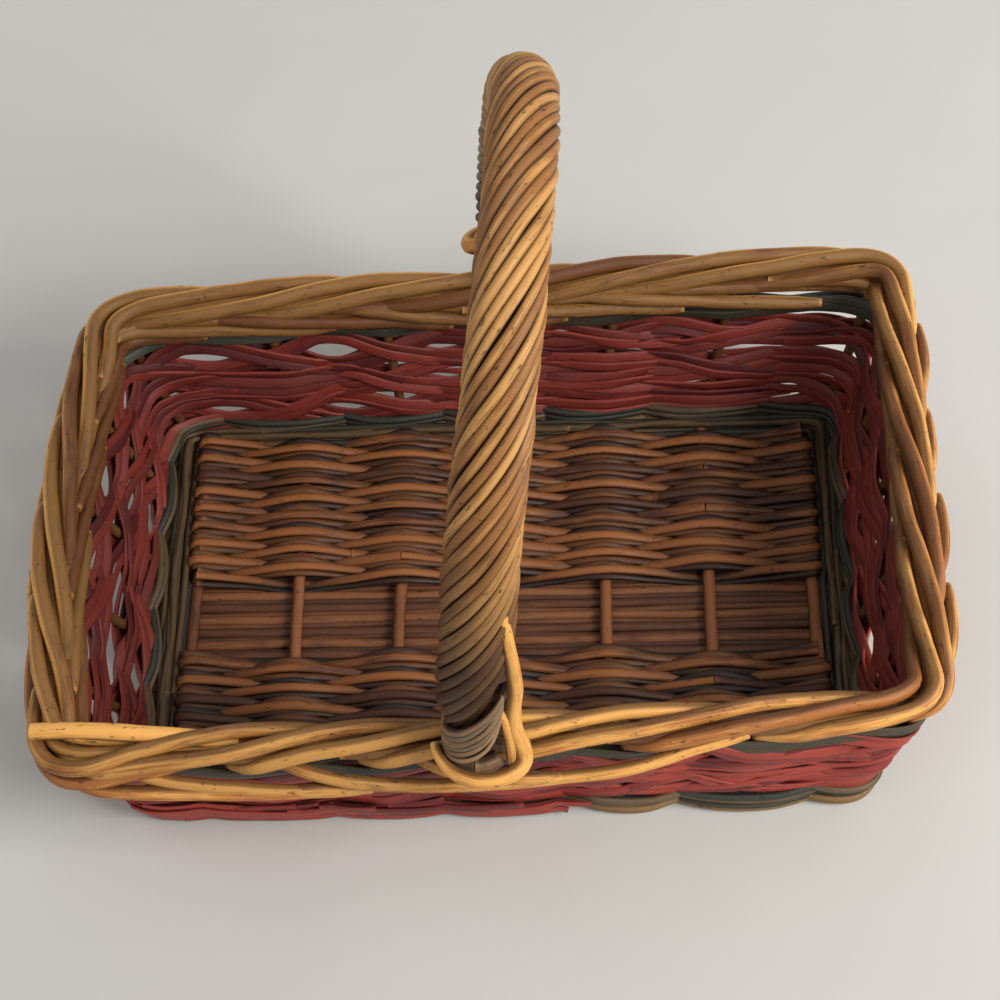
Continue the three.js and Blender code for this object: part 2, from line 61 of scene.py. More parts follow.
# The plan of the base and the side
TOUCH = 0.3
STICK_PITCH = 48.6
STICK_COUNT = 7
STICK_RADIUS = 2.9
BASE_WEAVER_RADIUS = 2.1
SLAT_RADIUS = 2.1
SLAT_PITCH = 6.6
SLAT_COUNT = 6
BACK_ROWS = 13
FRONT_ROWS = 10
BASE_HALF_WIDTH = 103
CORNER_SPARE = 2
FRONT_STAKES = 5
END_STAKES = 4
STAKE_RADIUS = 2.4
WALE_RADIUS = 2.1
RED_ROWS = 3
RIM_HALF_LENGTH = 185
RIM_HALF_WIDTH = 119
RIM_SKEW = 0.05
RIM_END_BULGE = 2.5
RIM_SIDE_BULGE = 2
RIM_LEFT_BULGE = 10.5
BASE_CORNER_ROUND = 0.3
RIM_CORNER_ROUND = 0.36
RIM_SPARE = 1
BORDER_RADIUS = 3.45
PLAIT_HALF_WIDTH = 10.6
PLAIT_SPARE = 1.4
RIM_TILT_RISE = 0.8
RIM_STAKES = 4
# One rim rod's way, as [stakes passed, share of the half width outwards, share of the half height up].
# The ways below it, up to the cap rod, are written the same way.
RIM_WAY = np.array(
    [
        [0, 0, -1.8],
        [0.16, 0.31, -0.6],
        [0.36, 0.28, 0.32],
        [0.7, 0.1, 0.85],
        [1.1, -0.1, 1.04],
        [1.55, -0.5, 1.04],
        [2, -0.88, 0.66],
        [2.4, -1, 0.06],
        [2.7, -0.92, -0.5],
        [3, -0.7, -0.9],
        [3.3, -0.2, -1.14],
        [3.6, 0.7, -1.25],
        [4, 1.12, -1.45],
        [4.5, 1.2, -1.95],
    ]
)
# Rods 19 and 20 run on along the low outer side at the front left, and rods 0 to 2 stop short.
LONG_TAILS = {
    19: [[3.6, 0.5, -1.3], [4, 0.95, -1.7], [4.5, 1.15, -2.3], [5.05, 1.1, -2.9]],
    20: [
        [3.6, 0.5, -1.3],
        [4, 1.0, -1.7],
        [4.5, 1.2, -2.35],
        [5, 1.25, -2.4],
        [5.5, 1.25, -2.0],
        [6, 1.15, -1.35],
        [6.45, 0.65, -0.8],
        [6.9, 0.2, -0.5],
    ],
}
LONG_TAIL_FROM = 3.5
SHORT_TAILS = (0, 1, 2)
SHORT_TAIL = 3.0
# The rod that turns the front left corner on the outside, and two that begin there, low on that side
WIDE_TURN = 21
WIDE_WAY = [[0.4, 0.3, 0.35], [0.7, 0.4, 0.7], [1.0, 0.5, 0.75], [1.25, 0.3, 0.75], [1.55, -0.3, 0.8]]
WIDE_REACH = (0.3, 1.6)
CORNER_ROD = [
    [0.03, 0.7, -1.3],
    [0.4, 1.0, -1.6],
    [0.9, 1.15, -1.9],
    [1.4, 1.15, -2.2],
    [1.8, 1.05, -2.6],
]
CORNER_FILL = [
    [-0.4, 0.3, -0.2],
    [-0.1, 0.75, -0.3],
    [0.1, 0.8, -0.3],
    [0.45, 0.45, -0.3],
    [0.8, 0, -0.4],
]
# Thinner rods under the rim's own: some fill its hollow, some line it inside, and some end low outside
RIM_FILL = [
    [0.35, 0, -0.4],
    [0.8, 0, 0],
    [1.3, -0.1, 0.1],
    [1.9, -0.45, -0.15],
    [2.3, -0.5, -0.5],
    [2.6, -0.5, -0.8],
]
RIM_LINING = [
    [0.05, -0.4, -2.0],
    [0.4, -0.6, -1.45],
    [0.8, -0.8, -1.0],
    [1.3, -0.9, -0.6],
    [1.8, -0.85, -0.4],
]
HANGING_LINING = [
    [0.1, -0.75, -2.9],
    [0.5, -0.9, -2.45],
    [1.0, -1.0, -1.85],
    [1.5, -1.05, -1.2],
    [2.0, -1.0, -0.7],
]
RIM_SKIRT = [[2.7, -0.1, -1.5], [3.1, 0.55, -1.7], [3.6, 1.0, -2.1], [4.1, 0.75, -2.4], [4.6, 0.85, -2.6]]
SKIRTED = (14, 15, 16)
# A rod that begins on the front left corner, over the ends of the left side's rods, and runs along the
# inner edge, and a short one that closes the corner under it: millimetres from the middle of the base
CAP_ROD = [
    (-192.5, -115.5, 98.5),
    (-178, -116, 100),
    (-160, -116.5, 99.5),
    (-140, -117, 97),
    (-122, -117, 93),
    (-108, -116, 88),
]
CORNER_PLUG = [(-191.5, -112, 84), (-184.5, -120.5, 84.5), (-174, -125, 84.5), (-160, -126, 84)]

# The handle
ARCH_RISE = 216
ARCH_LEAN = 18
ARCH_LEAN_POWER = 1.8
ARCH_SQUARE = 2.3
FOOT_OUT = 2.6
HANDLE_FOOT_RADIUS = 16.5
HANDLE_TOP_RADIUS = 14
WRAP_TURNS = 3.8
STRANDS = 16
BINDING_RADIUS = 1.9
BINDING_TURNS = 4
TURN_GAP = 0.5
BINDING_LIFT = 0.5
WRAP_LIFT = 1.2
LEG_FROM_STAKE = 0.125
LEG_RADIUS = 2.4
LEG_TIP = 0.6
CORE_DEPTH = 5.6  # from the outside of the strands to the bow inside them

# What follows from them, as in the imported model
EDGE_STICK_X = STICK_PITCH * (STICK_COUNT - 1) / 2
SLAT_FLAT = SLAT_RADIUS * math.cos(math.pi / 6)
STICK_Z = 2 * SLAT_FLAT + TOUCH + STICK_RADIUS
WALE_SWING = STAKE_RADIUS + WALE_RADIUS + TOUCH
TURN_REACH = EDGE_STICK_X + STICK_RADIUS + TOUCH + 2 * BASE_WEAVER_RADIUS
BASE_HALF_LENGTH = TURN_REACH + TOUCH + WALE_RADIUS + WALE_SWING
ROWS_REACH = BASE_HALF_WIDTH - (WALE_SWING + WALE_RADIUS + TOUCH + BASE_WEAVER_RADIUS + CORNER_SPARE)
ROW_STEP = (2 * ROWS_REACH - (SLAT_COUNT - 1) * SLAT_PITCH) / (BACK_ROWS + FRONT_ROWS)
SLAT_EDGE = -ROWS_REACH + FRONT_ROWS * ROW_STEP
BACK_EDGE = SLAT_EDGE + (SLAT_COUNT - 1) * SLAT_PITCH + ROW_STEP
PLAIT_HALF_HEIGHT = (2 * BORDER_RADIUS + TOUCH) / math.sqrt(3) + PLAIT_SPARE
LONG_STEPS = FRONT_STAKES + 1
SHORT_STEPS = END_STAKES + 1
CORNERS = (0, LONG_STEPS, LONG_STEPS + SHORT_STEPS, 2 * LONG_STEPS + SHORT_STEPS)
STAKES = 2 * (LONG_STEPS + SHORT_STEPS)
HANDLE_STAKES = (LONG_STEPS / 2, LONG_STEPS / 2 + CORNERS[2])
LEG_PLACES = tuple(u - LEG_FROM_STAKE for u in HANDLE_STAKES)
CORNER_NAMES = ("front_left", "front_right", "back_right", "back_left")
FRONT_NUMBERS = range(CORNERS[1])

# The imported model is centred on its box, and its middle stick says how far that moved it.
STICK_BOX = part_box("base_stick_4")
SHIFT = np.array((STICK_BOX[0] + STICK_BOX[1]) / 2) / METRE * (1, 1, 0)
SIDE_TOP_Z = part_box("upper_green_a")[1].z / METRE
PLAIT_Z = SIDE_TOP_Z + TOUCH + BORDER_RADIUS + PLAIT_HALF_HEIGHT + RIM_SPARE
RIM_TOP = PLAIT_Z + PLAIT_HALF_HEIGHT + BORDER_RADIUS + RIM_TILT_RISE

# Shapes

# The side is counted in stakes, from the front left corner to the right and round.
# A plan is half length, half width, bulges of the ends, the sides and the left end, and corner rounding.

BASE_RING = (BASE_HALF_LENGTH, BASE_HALF_WIDTH, 0, 0, 0, BASE_CORNER_ROUND)
RIM_BULGES = (RIM_END_BULGE, RIM_SIDE_BULGE, RIM_LEFT_BULGE)
RIM_RING = (RIM_HALF_LENGTH, RIM_HALF_WIDTH, *RIM_BULGES, RIM_CORNER_ROUND)


def side_point(u, plan):
    """A point of a plan with sharp corners, u stakes round."""
    half_length, half_width, end_bulge, side_bulge, left_bulge, _ = plan
    step = STICK_PITCH * half_length / BASE_HALF_LENGTH
    inner = LONG_STEPS / 2 - 1
    corner = half_length - inner * step
    if u < CORNERS[1]:
        t = u - LONG_STEPS / 2
        clamped = min(max(t, -inner), inner)
        x = clamped * step + (t - clamped) * corner
        return x, -half_width - side_bulge * math.sin(math.pi * u / LONG_STEPS)
    if u < CORNERS[2]:
        t = u - CORNERS[1]
        x = half_length + end_bulge * math.sin(math.pi * t / SHORT_STEPS)
        return x, half_width * (2 * t / SHORT_STEPS - 1)
    x, y = side_point(u - CORNERS[2], plan)
    more = left_bulge * math.sin(math.pi * (u - CORNERS[3]) / SHORT_STEPS) if u > CORNERS[3] else 0
    return -x - more, -y


@functools.lru_cache(maxsize=None)
def ring(u, plan):
    """A point of a plan with its corners rounded."""
    wrapped = u % STAKES
    round_by = plan[-1]
    for corner in (*CORNERS, STAKES):
        off = wrapped - corner
        if abs(off) < round_by:
            places = (corner - round_by, corner, corner + round_by)
            start, tip, end = (side_point(v % STAKES, plan) for v in places)
            t = (off + round_by) / (2 * round_by)
            return tuple(
                (1 - t) ** 2 * start[k] + 2 * t * (1 - t) * tip[k] + t * t * end[k] for k in (0, 1)
            )
    return side_point(wrapped, plan)


def side_line(u, z):
    """The middle of the side's thickness, u stakes round and z millimetres up."""
    u = round(u, 4)
    share = z / PLAIT_Z
    low, high = ring(u, BASE_RING), ring(u, RIM_RING)
    high_y = high[1] + RIM_SKEW * high[0]
    return np.array((low[0] + (high[0] - low[0]) * share, low[1] + (high_y - low[1]) * share, z))


def unit(v):
    """The direction of a vector, at length one."""
    return v / np.linalg.norm(v)


def side_frame(u, z):
    """The directions out of the side and up it."""
    along = unit(side_line(u + 0.02, z) - side_line(u - 0.02, z))
    rise = side_line(u, z + 1) - side_line(u, z - 1)
    out = unit(np.cross(along, rise))
    return out, np.cross(out, along)


def wall(u, z, out=0.0):
    """A point of the side, moved outwards."""
    return side_line(u, z) + side_frame(u, z)[0] * out


def clamped(value):
    """A share held between 0 and 1."""
    return min(max(value, 0), 1)


def eased(share):
    """A share that starts and ends slowly."""
    return share * share * (3 - 2 * share)


def drift(rng, count, knots, size):
    """A slow random wander, read at count places."""
    marks = rng.uniform(-size, size, knots)
    places = np.linspace(0, knots - 1, count)
    low = np.minimum(places.astype(int), knots - 2)
    share = eased(places - low)
    return marks[low] * (1 - share) + marks[low + 1] * share


def through(rows, per_step):
    """A smooth curve through the rows of an array, with per_step samples between two of them."""
    rows = np.asarray(rows, float)
    padded = np.vstack([2 * rows[0] - rows[1], rows, 2 * rows[-1] - rows[-2]])
    made = []
    for i in range(len(rows) - 1):
        a, b, c, d = padded[i : i + 4]
        for t in np.arange(per_step) / per_step:
            bent = 2 * b + (c - a) * t + (2 * a - 5 * b + 4 * c - d) * t * t
            made.append(0.5 * (bent + (3 * b - a - 3 * c + d) * t**3))
    return np.array([*made, rows[-1]])


def at_stake(table, u):
    """A table of [stakes round, value], read u stakes round."""
    return np.interp(u % STAKES, *zip(*table))


class Rods:
    """The middle lines of the rods of one piece, each with its thickness and the way its face looks."""

    def __init__(self):
        self.rods = []

    def add(self, points, radius, faces, tone, shade=0.0):
        """Adds one rod in millimetres. Any value but its tone is one for all, or one for each point."""
        points = np.asarray(points, float)
        count = len(points)
        radius = np.broadcast_to(np.asarray(radius, float), count)
        faces = np.broadcast_to(np.asarray(faces, float), (count, 3))
        # shade is painted shade: how far each point goes towards its finish's dark colour.
        shade = np.broadcast_to(np.asarray(shade, float), count)
        self.rods.append(((points + SHIFT) * METRE, radius * METRE, faces, tone, shade))

    def mesh(self, name):
        """The lines as a mesh of edges that carries the rods' values on its points."""
        mesh = bpy.data.meshes.new(name)
        edges, start = [], 0
        for rod in self.rods:
            count = len(rod[0])
            edges += [(start + i, start + i + 1) for i in range(count - 1)]
            start += count
        mesh.from_pydata(np.vstack([r[0] for r in self.rods]).tolist(), edges, [])
        tones = np.concatenate([np.full(len(r[0]), r[3]) for r in self.rods])
        for key, kind, field, values in (
            ("rod_radius", "FLOAT", "value", np.concatenate([r[1] for r in self.rods])),
            ("rod_tone", "FLOAT", "value", tones),
            ("rod_shade", "FLOAT", "value", np.concatenate([r[4] for r in self.rods])),
            ("rod_out", "FLOAT_VECTOR", "vector", np.vstack([r[2] for r in self.rods])),
        ):
            layer = mesh.attributes.new(key, kind, "POINT")
            layer.data.foreach_set(field, values.astype(np.float32).ravel())
        return mesh


# Trees of nodes

NOISE_APART = 71.3  # how far apart in the noise two rods lie, for a whole step of tone
SWELL_LENGTH = 0.018
END_SHARE = 0.4999  # from a rod's middle: only its two ends are cut
SHARP_ANGLE = 1.0


class Wiring:
    """Adds nodes to a tree and joins them."""

    def __init__(self, tree):
        self.tree = tree

    def join(self, value, socket):
        """Links a socket to another one, or gives it a plain value."""
        if isinstance(value, bpy.types.NodeSocket):
            self.tree.links.new(value, socket)
        else:
            socket.default_value = value

    def add(self, kind, inputs=None, **settings):
        """A new node with its settings made and its inputs joined."""
        node = self.tree.nodes.new(kind)
        for key, value in settings.items():
            setattr(node, key, value)
        for key, value in (inputs or {}).items():
            self.join(value, node.inputs[key])
        return node

    def first(self, kind, inputs=None, **settings):
        """The first output of a new node."""
        return self.add(kind, inputs, **settings).outputs[0]

    def math(self, operation, *values):
        """One step of reckoning with numbers."""
        return self.first("ShaderNodeMath", dict(enumerate(values)), operation=operation)

    def vector(self, operation, *values, out=0):
        """One step of reckoning with vectors. out is 1 for a plain number."""
        node = self.add("ShaderNodeVectorMath", dict(enumerate(values)), operation=operation)
        return node.outputs[out]

    def scaled(self, vector, factor):
        """A vector made longer or shorter."""
        return self.first("ShaderNodeVectorMath", {0: vector, "Scale": factor}, operation="SCALE")

    def combined(self, x, y, z=0.0):
        """Three numbers as a vector."""
        return self.first("ShaderNodeCombineXYZ", {"X": x, "Y": y, "Z": z})

    def axes(self, vector):
        """A vector as three numbers."""
        return self.add("ShaderNodeSeparateXYZ", {0: vector}).outputs

    def mix(self, factor, a, b):
        """A colour between two."""
        node = self.add("ShaderNodeMix", data_type="RGBA", clamp_factor=True)
        for key, value in (("Factor_Float", factor), ("A_Color", a), ("B_Color", b)):
            self.join(value, next(s for s in node.inputs if s.identifier == key))
        return next(s for s in node.outputs if s.identifier == "Result_Color")

    def ramp(self, value, low, high, to_low=0.0, to_high=1.0):
        """A value eased from one range to another."""
        inputs = {"Value": value, "From Min": low, "From Max": high, "To Min": to_low, "To Max": to_high}
        return self.first("ShaderNodeMapRange", inputs, interpolation_type="SMOOTHSTEP")


def new_tree(name, kind, inputs, outputs):
    """An empty node group with named inputs and outputs, its wiring and its input sockets."""
    tree = bpy.data.node_groups.new(name, kind)
    for key, socket, default in inputs:
        made = tree.interface.new_socket(key, in_out="INPUT", socket_type="NodeSocket" + socket)
        if default is not None:
            made.default_value = default
    for key, socket in outputs:
        tree.interface.new_socket(key, in_out="OUTPUT", socket_type="NodeSocket" + socket)
    return tree, Wiring(tree), tree.nodes.new("NodeGroupInput").outputs


@functools.lru_cache(maxsize=None)
def rods_tree():
    """Turns lines into willow rods, which wander a little and have a round or flat section."""
    tree, w, given = new_tree(
        "Willow Rods",
        "GeometryNodeTree",
        [
            ("Lines", "Geometry", None),
            ("Sides", "Int", 12),
            ("Step", "Float", 0.003),
            ("Depth", "Float", 1.0),
            ("Corner", "Float", 1.0),
            ("Face Up", "Float", 0.0),
            ("Wander", "Float", 0.0003),
            ("Wander Length", "Float", 0.03),
            ("Unevenness", "Float", 0.08),
            ("Seed", "Float", 1.0),
            ("Finish", "Material", None),
        ],
        [("Rods", "Geometry")],
    )
    curve = w.first("GeometryNodeMeshToCurve", {"Mesh": given["Lines"]})
    curve = w.first("GeometryNodeCurveSplineType", {"Curve": curve}, spline_type="CATMULL_ROM")
    curve = w.first(
        "GeometryNodeResampleCurve",
        {"Curve": curve, "Length": given["Step"]},
        mode="LENGTH",
        keep_last_segment=True,
    )
    tone = w.first("GeometryNodeInputNamedAttribute", {"Name": "rod_tone"})
    radius = w.first("GeometryNodeInputNamedAttribute", {"Name": "rod_radius"})
    face = w.first("GeometryNodeInputNamedAttribute", {"Name": "rod_out"}, data_type="FLOAT_VECTOR")
    spline = w.add("GeometryNodeSplineParameter").outputs
    # Each rod reads the noise somewhere else.
    place = w.math("ADD", w.math("MULTIPLY", tone, NOISE_APART), given["Seed"])

    def noise(length, detail, shift):
        """Noise that changes over a length of the rod."""
        at = w.combined(w.math("DIVIDE", spline["Length"], length), place, shift)
        return w.add("ShaderNodeTexNoise", {"Vector": at, "Scale": 1.0, "Detail": detail})

    wander = noise(given["Wander Length"], 1.0, 3.7).outputs["Color"]
    wander = w.vector("SUBTRACT", wander, (0.5, 0.5, 0.5))
    wander = w.scaled(wander, w.math("MULTIPLY", given["Wander"], 4.0))
    swell = noise(SWELL_LENGTH, 2.0, 9.1).outputs["Fac"]
    swell = w.math("MULTIPLY", w.math("SUBTRACT", swell, 0.5), given["Unevenness"])
    swell = w.math("ADD", w.math("MULTIPLY", swell, 2.0), 1.0)
    from_middle = w.math("ABSOLUTE", w.math("SUBTRACT", spline["Factor"], 0.5))
    keep = w.add("GeometryNodeCaptureAttribute", {"Geometry": curve})
    for kind, key, value in (
        ("VECTOR", "Wander", wander),
        ("FLOAT", "Thick", w.math("MULTIPLY", radius, swell)),
        ("FLOAT", "Along", spline["Length"]),
        ("FLOAT", "Cut", w.math("GREATER_THAN", from_middle, END_SHARE)),
    ):
        keep.capture_items.new(kind, key)
        tree.links.new(value, keep.inputs[key])
    kept = keep.outputs
    curve = w.first("GeometryNodeSetPosition", {"Geometry": kept["Geometry"], "Offset": kept["Wander"]})
    tangent = w.first("GeometryNodeInputTangent")
    lean = w.vector("DOT_PRODUCT", face, tangent, out=1)
    square = w.vector("NORMALIZE", w.vector("SUBTRACT", face, w.scaled(tangent, lean)))
    curve = w.first("GeometryNodeSetCurveNormal", {"Curve": curve, "Normal": square}, mode="FREE")
    circle = w.first(
        "GeometryNodeCurvePrimitiveCircle", {"Resolution": given["Sides"], "Radius": 1.0}, mode="RADIUS"
    )
    here = w.first("GeometryNodeInputPosition")
    section = w.add("GeometryNodeCaptureAttribute", {"Geometry": circle})
    section.capture_items.new("VECTOR", "Around")
    tree.links.new(here, section.inputs["Around"])

    def squared(value):
        """A circle's coordinate, moved towards a square's."""
        size = w.math("POWER", w.math("ABSOLUTE", value), given["Corner"])
        return w.math("MULTIPLY", w.math("SIGN", value), size)

    x, y, _ = w.axes(here)
    flat = w.combined(w.math("MULTIPLY", squared(x), given["Depth"]), squared(y))
    inputs = {"Geometry": section.outputs["Geometry"], "Position": flat}
    profile = w.first("GeometryNodeSetPosition", inputs)
    rods = w.first(
        "GeometryNodeCurveToMesh",
        {"Curve": curve, "Profile Curve": profile, "Scale": kept["Thick"], "Fill Caps": True},
    )
    # The side that looks out of the piece: given with the line, or whatever looks up. The skin paints shade
    # on the sides that turn away from it.
    around = w.axes(section.outputs["Around"])
    upwards = w.axes(w.first("GeometryNodeInputNormal"))[2]
    by_line = w.math("MULTIPLY", around[0], w.math("SUBTRACT", 1.0, given["Face Up"]))
    looks_out = w.math("ADD", by_line, w.math("MULTIPLY", upwards, given["Face Up"]))
    across = [w.math("MULTIPLY", around[k], kept["Thick"]) for k in (0, 1)]
    for name, kind, value in (
        ("grain_at", "FLOAT_VECTOR", w.combined(*across, w.math("ADD", kept["Along"], place))),
        ("rod_face", "FLOAT", looks_out),
        ("rod_cut", "FLOAT", kept["Cut"]),
    ):
        inputs = {"Geometry": rods, "Name": name, "Value": value}
        rods = w.first("GeometryNodeStoreNamedAttribute", inputs, data_type=kind, domain="POINT")
    sharp = w.math("GREATER_THAN", w.first("GeometryNodeInputMeshEdgeAngle"), SHARP_ANGLE)
    inputs = {"Geometry": rods, "Selection": sharp, "Shade Smooth": False}
    rods = w.first("GeometryNodeSetShadeSmooth", inputs, domain="EDGE")
    for name in ("rod_radius", "rod_out"):
        rods = w.first("GeometryNodeRemoveAttribute", {"Geometry": rods, "Name": name})
    rods = w.first("GeometryNodeRealizeInstances", {"Geometry": rods})
    rods = w.first("GeometryNodeSetMaterial", {"Geometry": rods, "Material": given["Finish"]})
    w.add("NodeGroupOutput", {"Rods": rods})
    return tree


def grow(name, rods, look, slot, nodes, **form):
    """Makes the piece from its lines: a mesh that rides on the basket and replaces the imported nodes."""
    piece = bpy.data.objects.new(name, rods.mesh(name))
    bpy.context.scene.collection.objects.link(piece)
    modifier = piece.modifiers.new("Rods", "NODES")
    modifier.node_group = rods_tree()
    form["Finish"] = willow_finish(look)
    for item in modifier.node_group.interface.items_tree:
        key = item.name.replace(" ", "_")
        if item.item_type == "SOCKET" and item.in_out == "INPUT" and key in form:
            modifier[item.identifier] = form[key]
    graph = bpy.context.evaluated_depsgraph_get()
    made = bpy.data.meshes.new_from_object(piece.evaluated_get(graph), depsgraph=graph)
    piece.modifiers.remove(modifier)
    lines = piece.data
    piece.data = made
    bpy.data.meshes.remove(lines)
    made.name = name
    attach(piece, "root")
    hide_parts(*nodes)
    return piece


# Finishes


@functools.lru_cache(maxsize=None)
def willow_skin_group():
    """The skin of a willow rod: streaks, patches, dark specks, and painted shade where it turns inwards."""
    tree, w, given = new_tree(
        "Willow Skin",
        "ShaderNodeTree",
        [
            ("Grain At", "Vector", None),
            ("Tone", "Float", 0.5),
            ("Face", "Float", 0.0),
            ("Cut", "Float", 0.0),
            ("Shade", "Float", 0.0),
            ("Dark", "Color", (0.1, 0.05, 0.02, 1)),
            ("Middle", "Color", (0.4, 0.25, 0.1, 1)),
            ("Light", "Color", (0.6, 0.4, 0.2, 1)),
            ("Odd", "Color", (0.3, 0.3, 0.3, 1)),
            ("Odd Share", "Float", 0.0),
            ("Specks", "Float", 0.5),
            ("Spread", "Float", 0.3),
            ("Shelter", "Float", 0.5),
            ("Shelter Reach", "Float", 0.35),
        ],
        [("Color", "Color"), ("Roughness", "Float"), ("Height", "Float")],
    )

    def noise(scale, detail, roughness=0.5):
        """Noise at a scale for each way of the grain."""
        at = w.vector("MULTIPLY", given["Grain At"], scale)
        inputs = {"Vector": at, "Scale": 1.0, "Detail": detail, "Roughness": roughness}
        return w.add("ShaderNodeTexNoise", inputs).outputs["Fac"]

    # The scales are across the rod both ways, and along it.
    streak = noise((1500, 1500, 60), 3.0, 0.6)
    patch = noise((110, 110, 45), 2.0)
    speck = noise((520, 520, 210), 2.0, 0.6)
    stain = noise((260, 260, 34), 3.0, 0.65)
    lift = w.math("ADD", w.math("MULTIPLY", streak, 0.55), w.math("MULTIPLY", patch, 0.45))
    shift = w.math("MULTIPLY", w.math("SUBTRACT", given["Tone"], 0.5), given["Spread"])
    lift = w.ramp(w.math("ADD", lift, shift), 0.36, 0.62)
    colour = w.mix(lift, given["Middle"], given["Light"])
    is_odd = w.math("LESS_THAN", given["Tone"], given["Odd Share"])
    colour = w.mix(w.math("MULTIPLY", is_odd, 0.85), colour, given["Odd"])
    spots = w.ramp(speck, 0.62, 0.74)
    stains = w.ramp(stain, 0.56, 0.76, 0.0, 0.7)
    marks = w.math("MULTIPLY", w.math("MAXIMUM", spots, stains), given["Specks"])
    colour = w.mix(marks, colour, given["Dark"])
    # Painted shade: the sides that turn inwards, and each rod's own painted shade, go towards the dark
    # colour.
    deepest = w.math("SUBTRACT", given["Shelter Reach"], 0.7)
    inside = w.ramp(given["Face"], given["Shelter Reach"], deepest)
    inside = w.math("MULTIPLY", inside, given["Shelter"])
    colour = w.mix(w.math("MAXIMUM", inside, given["Shade"]), colour, given["Dark"])
    colour = w.mix(w.math("MULTIPLY", given["Cut"], 0.45), colour, given["Light"])
    rough = w.ramp(streak, 0.3, 0.7, 0.62, 0.46)
    height = w.math("ADD", streak, w.math("MULTIPLY", speck, 0.6))
    w.add("NodeGroupOutput", {"Color": colour, "Roughness": rough, "Height": height})
    return tree


def srgb(red, green, blue):
    """A colour given in plain 0 to 255 steps, as a shader reads it."""
    steps = (c / 255 for c in (red, green, blue))
    line = [c / 12.92 if c <= 0.04045 else ((c + 0.055) / 1.055) ** 2.4 for c in steps]
    return (*line, 1.0)


@functools.lru_cache(maxsize=None)
def willow_finish(name):
    """One finish of willow, in the colours that the panel gives for it."""
    look = getattr(bpy.context.scene.basket_finishes, name)
    material = bpy.data.materials.new("Willow " + name.replace("_", " "))
    material.use_nodes = True
    tree = material.node_tree
    tree.nodes.clear()
    w = Wiring(tree)
    skin = w.add("ShaderNodeGroup", node_tree=willow_skin_group())
    for socket, key, out in (
        ("Grain At", "grain_at", "Vector"),
        ("Tone", "rod_tone", "Fac"),
        ("Face", "rod_face", "Fac"),
        ("Cut", "rod_cut", "Fac"),
        ("Shade", "rod_shade", "Fac"),
    ):
        reading = w.add("ShaderNodeAttribute", attribute_name=key)
        tree.links.new(reading.outputs[out], skin.inputs[socket])
    for field in ("dark", "middle", "light", "odd"):
        skin.inputs[field.title()].default_value = (*getattr(look, field), 1)
    for field in ("odd_share", "specks", "spread", "shelter", "shelter_reach"):
        skin.inputs[field.replace("_", " ").title()].default_value = getattr(look, field)
    grain = {"Strength": 0.5, "Distance": 0.0005, "Height": skin.outputs["Height"]}
    inputs = {
        "Base Color": skin.outputs["Color"],
        "Roughness": skin.outputs["Roughness"],
        "Normal": w.first("ShaderNodeBump", grain),
        "Specular IOR Level": 0.4,
    }
    shader = w.first("ShaderNodeBsdfPrincipled", inputs)
    w.add("ShaderNodeOutputMaterial", {"Surface": shader})
    return material


def colour_property(name, description, steps):
    """A colour that the panel shows, given in 0 to 255 steps."""
    return bpy.props.FloatVectorProperty(
        name=name,
        description=description,
        subtype="COLOR",
        size=3,
        min=0,
        max=1,
        default=srgb(*steps)[:3],
    )


def share_property(name, description, default):
    """A share from 0 to 1 that the panel shows."""
    return bpy.props.FloatProperty(
        name=name, description=description, subtype="FACTOR", min=0, max=1, default=default
    )


def length_property(name, description, millimetres):
    """A length that the panel shows."""
    return bpy.props.FloatProperty(
        name=name,
        description=description,
        unit="LENGTH",
        subtype="DISTANCE",
        min=0,
        default=millimetres * METRE,
    )


def group_class(name, fields):
    """A property group class with the given fields."""
    return type(name, (bpy.types.PropertyGroup,), {"__annotations__": fields})


def finish_group(key, dark, middle, light, odd, odd_share, specks, spread, shelter, reach):
    """A property group class for one finish."""
    colours = {"dark": dark, "middle": middle, "light": light, "odd": odd}
    fields = {
        field: colour_property(field.title(), f"{field.title()} colour of the finish", steps)
        for field, steps in colours.items()
    }
    fields["odd_share"] = share_property("Odd Rods", "Share of the rods in the odd colour", odd_share)
    fields["specks"] = share_property("Specks", "Strength of the dark marks", specks)
    fields["spread"] = share_property("Spread", "How much the rods differ", spread)
    fields["shelter"] = share_property("Shelter", "Shade on the sides that turn inwards", shelter)
    fields["shelter_reach"] = share_property("Shelter Reach", "How far round the shade comes", reach)
    label = key.title().replace("_", "")
    return group_class(f"Basket{label}Finish", fields)
